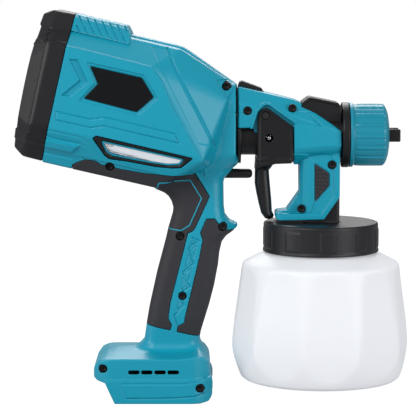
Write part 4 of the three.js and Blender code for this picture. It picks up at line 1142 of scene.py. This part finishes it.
def inlay_shape(x, y, z):
    e = hex_h(x, z, 3.4)
    rel = 0.45 * sstep(e, 0.1, 0.55)
    d = smax(inlayF(x, z) + 0.05, np.abs(y + 16.9) - 0.75 + 0.45 - rel * (inlayF(x, z) < -0.9), 0.25)
    return d


implicit("left_inlay_pad", inlay_shape, (81, -18.2, 153), (94.5, -15.8, 185), 0.3, "gun", RUBBER, ["left_inlay"], mirror=("right_inlay_pad", ["right_inlay"]))

# hood over the fluid body
hoodO = [(72.2, 230.4), (77.4, 234.3), (79.3, 234.5), (100.1, 230.2), (102.8, 227), (102.8, 206), (72.2, 206)]
hoodF = Field(6.0).put_sd(hoodO, 7)
hoodTop = [(72.2, 230.4), (77.4, 234.3), (79.3, 234.5), (100.1, 230.2), (102.8, 227)]


def hood(x, y, z):
    ay = np.abs(y)
    rr = np.sqrt(y * y + (z - AXIS_Z) ** 2)
    d = smax(hoodF(x, z), ay - 15 + 0.10 * np.maximum(z - 222, 0), 1.0)
    # shallow panel pressed into each flank, leaving a rim along the top
    pan = hoodF(x, z) + 2.0
    d = np.maximum(d, -np.maximum(pan, 13.9 - ay - 0.10 * np.maximum(z - 222, 0)))
    return np.maximum(d, -(rr - 17.4))


implicit("nozzle_hood_cover", hood, (71.5, -15.5, 206), (103.4, 15.5, 235.2), 0.5, "gun", BLACK, ["nozzle_hood"])


# release button
def button(x, y, z):
    s, h = top_sh(x, z)
    ay = np.abs(y)
    topc = np.interp(s, [0.3, 0.9, 2.6, 18.4, 20.4], [0.2, 3.2, 4.2, 2.2, 0.3]).astype(f32)
    rib = 0.35 * (np.abs((s % 3.2) - 1.6) < 0.55) * (s > 4) * (s < 17) * (ay < 6.2)
    d = smax(smax(h - topc + rib, -h - 0.9, 0.5), smax(np.abs(s - 10.35) - 10.05, ay - 8, 1.2), 1.0)
    return d * 0.95


implicit("release_button_cap", button, (21.5, -8.4, 236), (45, 8.4, 248.5), 0.42, "release_button", COVER, ["release_button"])


# barrel of the spray head
def gun_barrel(x, y, z):
    rr = np.sqrt(y * y + (z - AXIS_Z) ** 2)
    ay = np.abs(y)

    def seg(r, a, b, k=0.4):
        return smax(rr - r, np.maximum(a - x, x - b), k)

    f = seg(15.4, 8, 23)
    f = np.minimum(f, seg(22, 22.75, 25.5, 0.7))
    f = np.minimum(f, seg(15.5, 25, 67))
    f = np.minimum(f, seg(17, 66.5, 104))
    f = np.minimum(f, seg(25.3, 103.4, 109.0, 1.0))
    f = np.minimum(f, seg(21, 108, 126, 0.6))
    f = f + 0.35 * (np.abs((x % 3.0) - 1.5) < 0.5) * (x > 111) * (x < 125)
    f = np.maximum(f, -np.maximum(rr - 12.5, x - 70))
    f = np.maximum(f, -seg(16.5, 120, 140))
    f = smin(f, seg(9, 110, 124, 0.4), 0.4)
    guide = np.maximum(np.maximum(rr - 5.2, 1.9 - rr), np.maximum(22 - x, x - 25.5))
    web = np.maximum(np.maximum(np.minimum(ay, np.abs(z - AXIS_Z)) - 0.9, rr - 14), np.maximum(np.maximum(22 - x, x - 25.5), 4 - rr))
    f = np.minimum(f, np.minimum(guide, web))
    f = np.minimum(f, np.maximum(np.maximum(rr - 5.2, 1.9 - rr), np.maximum(64 - x, x - 72)))
    f = np.maximum(f, -np.maximum(rr - 3.2, 70 - x))
    f = np.maximum(f, -boxd(x, y, z, 40.5, 50, -30, 30, AXIS_Z - 4, AXIS_Z + 1.8))
    d = np.sqrt((x - PIVOT[0]) ** 2 + (z - PIVOT[1]) ** 2)
    f = np.maximum(f, -(d - 2.4))
    c = np.sqrt((x - CUP_X) ** 2 + y * y)
    return np.maximum(f, -np.maximum(c - 4, np.maximum(180 - z, z - AXIS_Z + 1)))


implicit("gun_barrel_tube", gun_barrel, (7.5, -25.6, 179), (126.5, 25.6, 230.4), 0.7, "gun", BLACK, ["gun_barrel"])

# ------------------------------------------------------------------ trigger
cheekO = [(37.6, 214.4), (38.7, 222.4), (41.4, 225.6), (44.4, 226.8), (47.3, 225.6), (65.4, 212.2),
          (65.6, 186.6), (63.7, 184.4), (52.2, 184), (46.8, 183), (37.6, 180.5)]
leverO = [(52.7, 186), (50.6, 183.2), (48.9, 180.7), (47.3, 177.6), (47.7, 171.4), (49.3, 154.2), (49.8, 145.6), (51.3, 142.1),
          (50.6, 140.2), (47.5, 139), (44.3, 139.8), (41.2, 144.1), (39.2, 151.9), (37.7, 158.9), (36.3, 166.7),
          (36.5, 177.6), (37.6, 187), (46, 188)]
cheekF = Field(6.0).put_sd(cheekO, 7)
leverF = Field(6.0).put_sd(leverO, 7)


def trigger(x, y, z):
    ay = np.abs(y)
    cheek = smax(cheekF(x, z), np.abs(ay - 19.5) - 1.5, 0.9)
    dish = 0.45 * (1 - sstep(cheekF(x, z), -2.6, -1.9)) * sstep(ay, 19.6, 20.2)
    cheek = cheek + dish
    bridge = smax(smax(cheekF(x, z), z - 186.8 + 0.2 * np.maximum(44.1 - x, 0), 1.0), ay - 21, 1.0)
    lever = smax(leverF(x, z), ay - 9.5, 6.5)
    # flares out where it meets the bridge
    flare = smax(smax(leverF(x, z), 179.5 - z, 1.0), ay - 10 - 1.25 * np.maximum(z - 178, 0), 2.5)
    flare = np.maximum(flare, ay - 21)
    f = smin(smin(cheek, bridge, 1.6), smin(lever, flare, 2.5), 2.0)
    d = np.sqrt((x - PIVOT[0]) ** 2 + (z - PIVOT[1]) ** 2)
    f = smax(f, -(d - 2.4), 0.3)
    f = smax(f, -np.maximum(d - 3.2, 19.6 - ay), 0.3)
    e = np.sqrt((x - 46.9) ** 2 + (z - 203.4) ** 2)
    f = smax(f, -(e - 3.1), 0.4)
    return f

implicit("trigger_lever", trigger, (35.5, -21.5, 138), (66.5, 21.5, 227.5), 0.55, "trigger", BLACK, ["trigger"])

# ------------------------------------------------------------------ nut, air cap, plunger and other turned pieces
NUT_RIBS = 16


def nut_mod(th, r, a):
    inz = float(np.clip((a - 113.0) / 1.0, 0, 1) * np.clip((137.2 - a) / 1.4, 0, 1)) * float(r > 22.0)
    u = (th * NUT_RIBS / (2 * math.pi)) % 1.0
    d = np.minimum(u, 1 - u)  # 0 on a rib, 0.5 half way between two
    rib = 1 / (1 + np.exp((d - 0.125) * 60))
    ditch = np.exp(-(((d - 0.2) / 0.055) ** 2))
    field = np.cos((d - 0.5) * math.pi * 1.1)
    return r + inz * (0.62 * rib - 0.34 * ditch + 0.18 * (1 - rib) * field)


nutProf = [(22, 109.4), (25.0, 109.4), (25.0, 112), (23.5, 112.5), (23.5, 113.6), (23.5, 118), (23.5, 124), (23.5, 130), (23.4, 135.2),
           (22.7, 136.7), (20.6, 137.9), (17, 139.1), (12.6, 139.8), (12.4, 139.6), (12.4, 136.8), (18.6, 136.8), (18.6, 129.5), (22, 129.5)]
turned("nozzle_nut_ring", nutProf, 288, along_x(AXIS_Z), "nozzle_nut", TEAL_NUT, ["nozzle_nut"], r=0.5, closed=True, mod=nut_mod, angle=34)


def air_cap(x, y, z):
    rr = np.sqrt(y * y + (z - AXIS_Z) ** 2)
    ay = np.abs(y)
    f = smax(rr - 17.9, np.abs(x - 134.2) - 2.15, 0.4)
    f = np.minimum(f, smax(rr - 11.9, np.abs(x - 136.5) - 3.1, 0.8))
    inner = 5.4 + 0.26 * np.maximum(x - 139, 0)
    horn = smax(smax(np.maximum(138 - x, x - 148.7), np.abs(z - AXIS_Z) - 4.9, 1.0), smax(ay - 10.1, inner - ay, 0.8), 1.0)
    f = smin(f, horn, 0.8)
    # air holes in the horns and the face
    hz = np.sqrt((x - 145.2) ** 2 + (z - AXIS_Z) ** 2)
    f = np.maximum(f, -np.maximum(hz - 0.9, ay - 8.6))
    fh = np.sqrt((ay - 0) ** 2 + (np.abs(z - AXIS_Z) - 7.2) ** 2)
    f = np.maximum(f, -np.maximum(fh - 0.8, 137 - x))
    return smax(f, -(rr - 3.4), 0.4)


implicit("air_cap_horns", air_cap, (131.5, -18.2, 186.4), (149.2, 18.2, 223), 0.42, "air_cap", BLACK, ["air_cap"])

turned("switch_plunger_rod", [(0, 0.5), (3.7, 0.5), (3.7, 31), (3.45, 32.6), (2.7, 33.8), (1.4, 34.4), (0, 34.5)], 48,
       along_x(PLUNGER_Z), "plunger", BLACK, ["switch_plunger"], r=0.4)
# the pivot rivet takes the near-black hole colour: painted shade in the pivot hole
turned("trigger_pivot_rivet", [(0, -20.6), (2.7, -20.6), (2.8, -20.3), (2.8, -19.9), (2, -19.9), (2, 20.4), (0, 20.4)], 40,
       along_y(*PIVOT), "gun", SHADE_DARK, ["trigger_pivot_pin"], r=0.2)
turned("needle_cross_rod", [(0, -20.4), (1.1, -20.4), (1.5, -20.0), (1.5, 20.0), (1.1, 20.4), (0, 20.4)], 32,
       along_y(46.9, 203.4), "needle", STEEL, ["needle_cross_pin"], r=0.2)
turned("fluid_tip", [(2, 124.4), (8.7, 124.4), (8.7, 127), (6, 127), (6, 128.6), (2.9, 131.4), (2.9, 139), (1.1, 139), (1.1, 136), (2, 130)],
       48, along_x(AXIS_Z), "gun", BRASS, ["fluid_nozzle"], r=0.25, closed=True)
turned("cup_suction_tube", [(2.2, 20), (3.6, 20), (3.6, 178), (2.2, 178)], 40, along_z(CUP_X), "gun", TUBE, ["suction_tube"], r=0.2, closed=True)
turned("cup_gasket_ring", [(33, 131.3), (41.2, 131.3), (41.2, 133.1), (33, 133.1)], 96, along_z(CUP_X), "gasket", SILICONE, ["lid_gasket"], r=0.4, closed=True)
turned("motor_mount", [(22.8, 80.6), (28.4, 80.6), (28.4, 84.4), (22.8, 84.4)], 64,
       lambda u, v, a: (L(a, -3)[0] + v * ST, u, L(a, -3)[1] + v * CT), "housing", RUBBER, ["motor_mount_ring"], r=0.4, closed=True)


# screws with a cross recess; their near-black colour is partly painted shade, so they read as dark wells
def screw(name, sx, sz, sf, seat, end, body):
    a = sf + seat
    def mod(th, r, y):
        return r * (1 + (0 if r > 1.7 or y > a - 0.4 else 0.24) * np.cos(4 * th))
    turned(name, [(0, a - 0.9), (1.5, a - 1.0), (1.55, a - 2.15), (2.1, a - 2.4), (2.9, a - 2.25), (3.2, a - 1.7), (3.2, a), (1.4, a), (1.4, end - 1), (0, end)],
           32, along_y(sx, sz), body, SCREW, [name.replace("_head", "")], r=0.12, seg=2, mod=mod)


for i, (s, e) in enumerate(zip(SCREWS, SCREW_END)):
    screw("housing_screw_%d_head" % (i + 1), s[0], s[1], s[2], s[3], e, "housing")
for i, (s, e) in enumerate(zip(GSCREWS, GSCREW_END)):
    screw("gun_screw_%d_head" % (i + 1), s[0], s[1], s[2], s[3], e, "gun")


# ------------------------------------------------------------------ lid with its square neck
def lid(x, y, z):
    rr = np.sqrt((x - CUP_X) ** 2 + y * y)
    th = np.arctan2(y, x - CUP_X)
    # ten low pads round the skirt
    ph = (np.degrees(th + math.pi / 2) - 4.4 + 18) % 36 - 18
    pad = sstep(np.abs(ph), 8.3, 7.5) * sstep(z, 117.2, 118.4) * (1 - sstep(z, 131.6, 132.8))
    edge = np.exp(-(((ph + 7.6) / 0.85) ** 2)) * sstep(z, 117.2, 118.4) * (1 - sstep(z, 131.6, 132.8))
    f = smax(rr - 44.7 - 0.5 * pad - 0.3 * edge, np.maximum(114.1 - z, z - 137.1), 2.0)
    f = smin(f, smax(rr - 45.2, np.maximum(114.1 - z, z - 116.4), 0.8), 0.4)
    # a low step on the top face
    f = f + 0.3 * np.exp(-(((rr - 41.5) / 0.6) ** 2)) * (z > 134)
    f = np.maximum(f, -np.maximum(rr - 41.6, z - 133.4))
    nk = smax(smax(np.abs(x - 88.4) - 13.4, np.abs(y) - 13.7, 2.4), np.maximum(136 - z, z - 187), 0.6)
    f = smin(f, nk, 2.0)
    for sx, sz, *_ in GSCREWS[2:]:
        f = np.maximum(f, -(np.sqrt((x - sx) ** 2 + (z - sz) ** 2) - 1.9))
    return np.maximum(f, -(rr - 4))


implicit("cup_lid_cap", lid, (42, -46, 113.5), (134, 46, 187.6), 0.8, "gun", LID, ["cup_lid"])

# ------------------------------------------------------------------ paint cup
CZ = np.array([14.2, 14.6, 16.2, 21.5, 31.5, 38, 45, 60, 76, 92, 102.5, 104.4, 105.6, 107.2, 109.5, 112.4])
CR = np.array([58.0, 60.4, 62.4, 64.6, 67.9, 69.4, 69.5, 67.6, 65.3, 63.0, 61.5, 60.9, 59.6, 56.6, 52.2, 46.5])
# distance of the flat faces from the axis
AZ = np.array([14, 31.5, 43, 60, 92, 100, 114])
AR = np.array([63.6, 65.4, 66.0, 65.2, 61.3, 60.9, 61.0])
SPIN = math.radians(-14)


def cup_r(th, z, off):
    base = np.interp(z, CZ, CR) - off
    flat = np.interp(z, AZ, AR) - off
    ph = (th + math.pi / 2 - SPIN + math.pi / 10) % (2 * math.pi / 10) - math.pi / 10
    # facet centres lie half way between the vertices
    ph = np.where(ph > 0, ph - math.pi / 10, ph + math.pi / 10)
    plane = flat / np.cos(ph)
    k = 0.6
    h = np.maximum(k - np.abs(base - plane), 0) / k
    return np.minimum(base, plane) - h * h * k * 0.25


def cup_piece():
    n = 360
    th = np.arange(n) * 2 * math.pi / n
    rows = []
    zs = [14.2, 14.25, 14.6, 15.3, 16.4, 18, 20, 22.5, 25.5, 29, 33, 38, 43, 48, 54, 60, 66, 72, 78, 84, 88, 91, 93.5, 96, 98.5, 100.5, 102.5, 104.2, 105.6, 107, 108.4, 109.8, 111.2, 112.4]
    rows.append(("c", 0, 15.2))
    rows.append(("k", 40.0, 15.1))
    rows.append(("k", 47.5, 14.9))
    rows.append(("k", 50.5, 14.3))
    for z in zs:
        rows.append(("s", 0.0, z))
    rows += [("k", 41.2, 113.2), ("k", 40.6, 114.0), ("k", 40.4, 116), ("k", 40.4, 120), ("k", 40.4, 130.6), ("k", 40.1, 131.0), ("k", 38.1, 131.0), ("k", 37.8, 130.7), ("k", 37.8, 113)]
    inner = [z for z in zs[::-1] if z > 17]
    for z in inner:
        rows.append(("s", 1.9, z - 1.6 if z > 104 else z))
    rows += [("k", 52, 16.3), ("c", 0, 16.6)]
    V, F, idx = [], [], []
    for kind, r, z in rows:
        if kind == "c":
            idx.append([len(V)])
            V.append((CUP_X, 0, z))
            continue
        rr = np.full(n, r) if kind == "k" else cup_r(th, z, r)
        if kind == "s" and z <= 14.3:
            rr = rr - 1.2
        idx.append(list(range(len(V), len(V) + n)))
        V += [(CUP_X + rr[i] * math.cos(th[i]), rr[i] * math.sin(th[i]), z) for i in range(n)]
    for A, Bq in zip(idx[:-1], idx[1:]):
        for k in range(n):
            k2 = (k + 1) % n
            if len(A) == 1:
                F.append((A[0], Bq[k2], Bq[k]))
            elif len(Bq) == 1:
                F.append((A[k], A[k2], Bq[0]))
            else:
                F.append((A[k], A[k2], Bq[k2], Bq[k]))
    ob = put("paint_cup_body", V, F, "cup", CUPM, ["paint_cup"])
    fix_normals(ob)
    return ob


cup_piece()

# ------------------------------------------------------------------ carried-over CAD nodes get their finishes
NODE_MATS = {
    "turbine_shroud": BLACK, "motor_can": STEEL, "outlet_duct": BLACK, "trigger_switch": BLACK, "control_board": BOARD,
    "terminal_block": BLACK, "contact_positive": COPPER, "contact_negative": COPPER, "plunger_spring": STEEL,
    "motor_shaft": STEEL, "fan_impeller": TUBE, "air_filter": FOAM, "needle": STEEL, "needle_spring": STEEL,
}
for node, m in NODE_MATS.items():
    ob = frame["nodes"][node]
    ob = ob if hasattr(ob, "data") else bpy.data.objects[node]
    ob.data.materials.clear()
    ob.data.materials.append(m)

# ------------------------------------------------------------------ floor, world and lights
fm = bpy.data.meshes.new("floor")
fm.from_pydata([(-8, -8, -0.0002), (8, -8, -0.0002), (8, 8, -0.0002), (-8, 8, -0.0002)], [], [(0, 1, 2, 3)])
floor = bpy.data.objects.new("floor", fm)
bpy.context.scene.collection.objects.link(floor)
fmat = bpy.data.materials.new("pale_floor")
fmat.use_nodes = True
nt = fmat.node_tree
nt.nodes.clear()
_o = nt.nodes.new("ShaderNodeOutputMaterial")
_mix = nt.nodes.new("ShaderNodeMixShader")
_lp = nt.nodes.new("ShaderNodeLightPath")
_dim = nt.nodes.new("ShaderNodeBsdfDiffuse")
_dim.inputs[0].default_value = (0.42, 0.42, 0.43, 1)
_add = nt.nodes.new("ShaderNodeAddShader")
_em = nt.nodes.new("ShaderNodeEmission")
_em.inputs[0].default_value = (1, 1, 1, 1)
_em.inputs[1].default_value = 0.97
_df = nt.nodes.new("ShaderNodeBsdfDiffuse")
_df.inputs[0].default_value = (0.14, 0.14, 0.14, 1)
nt.links.new(_em.outputs[0], _add.inputs[0])
nt.links.new(_df.outputs[0], _add.inputs[1])
nt.links.new(_lp.outputs["Is Camera Ray"], _mix.inputs[0])
nt.links.new(_dim.outputs[0], _mix.inputs[1])
nt.links.new(_add.outputs[0], _mix.inputs[2])
nt.links.new(_mix.outputs[0], _o.inputs[0])
fm.materials.append(fmat)

world = bpy.data.worlds.new("studio")
bpy.context.scene.world = world
world.use_nodes = True
wt = world.node_tree
bg = wt.nodes["Background"]
bg.inputs[0].default_value = (0.97, 0.985, 1, 1)
bg.inputs[1].default_value = 0.36
bg2 = wt.nodes.new("ShaderNodeBackground")
bg2.inputs[0].default_value = (1, 1, 1, 1)
bg2.inputs[1].default_value = 1.0
wl = wt.nodes.new("ShaderNodeLightPath")
wm = wt.nodes.new("ShaderNodeMixShader")
wt.links.new(wl.outputs["Is Camera Ray"], wm.inputs[0])
wt.links.new(bg.outputs[0], wm.inputs[1])
wt.links.new(bg2.outputs[0], wm.inputs[2])
wt.links.new(wm.outputs[0], wt.nodes["World Output"].inputs[0])


def area(name, loc, target, size, power, size_y=None, color=(1, 1, 1)):
    d = bpy.data.lights.new(name, "AREA")
    d.shape = "RECTANGLE"
    d.size = size
    d.size_y = size_y or size
    d.energy = power
    d.color = color
    o = bpy.data.objects.new(name, d)
    bpy.context.scene.collection.objects.link(o)
    o.location = loc
    o.rotation_euler = (Vector(target) - Vector(loc)).to_track_quat("-Z", "Y").to_euler()
    return o


area("key", (-0.8, -1.25, 1.05), (0, 0, 0.15), 0.9, 14)
area("left", (-1.5, -0.55, 0.35), (-0.05, 0, 0.16), 0.6, 9, 1.0)
area("fill", (1.25, -1.1, 0.45), (0, 0, 0.15), 0.9, 12)
area("top", (0.0, 1.15, 1.15), (0, 0, 0.18), 1.1, 15)

vs = bpy.context.scene.view_settings
vs.view_transform = "Standard"
vs.look = "None"
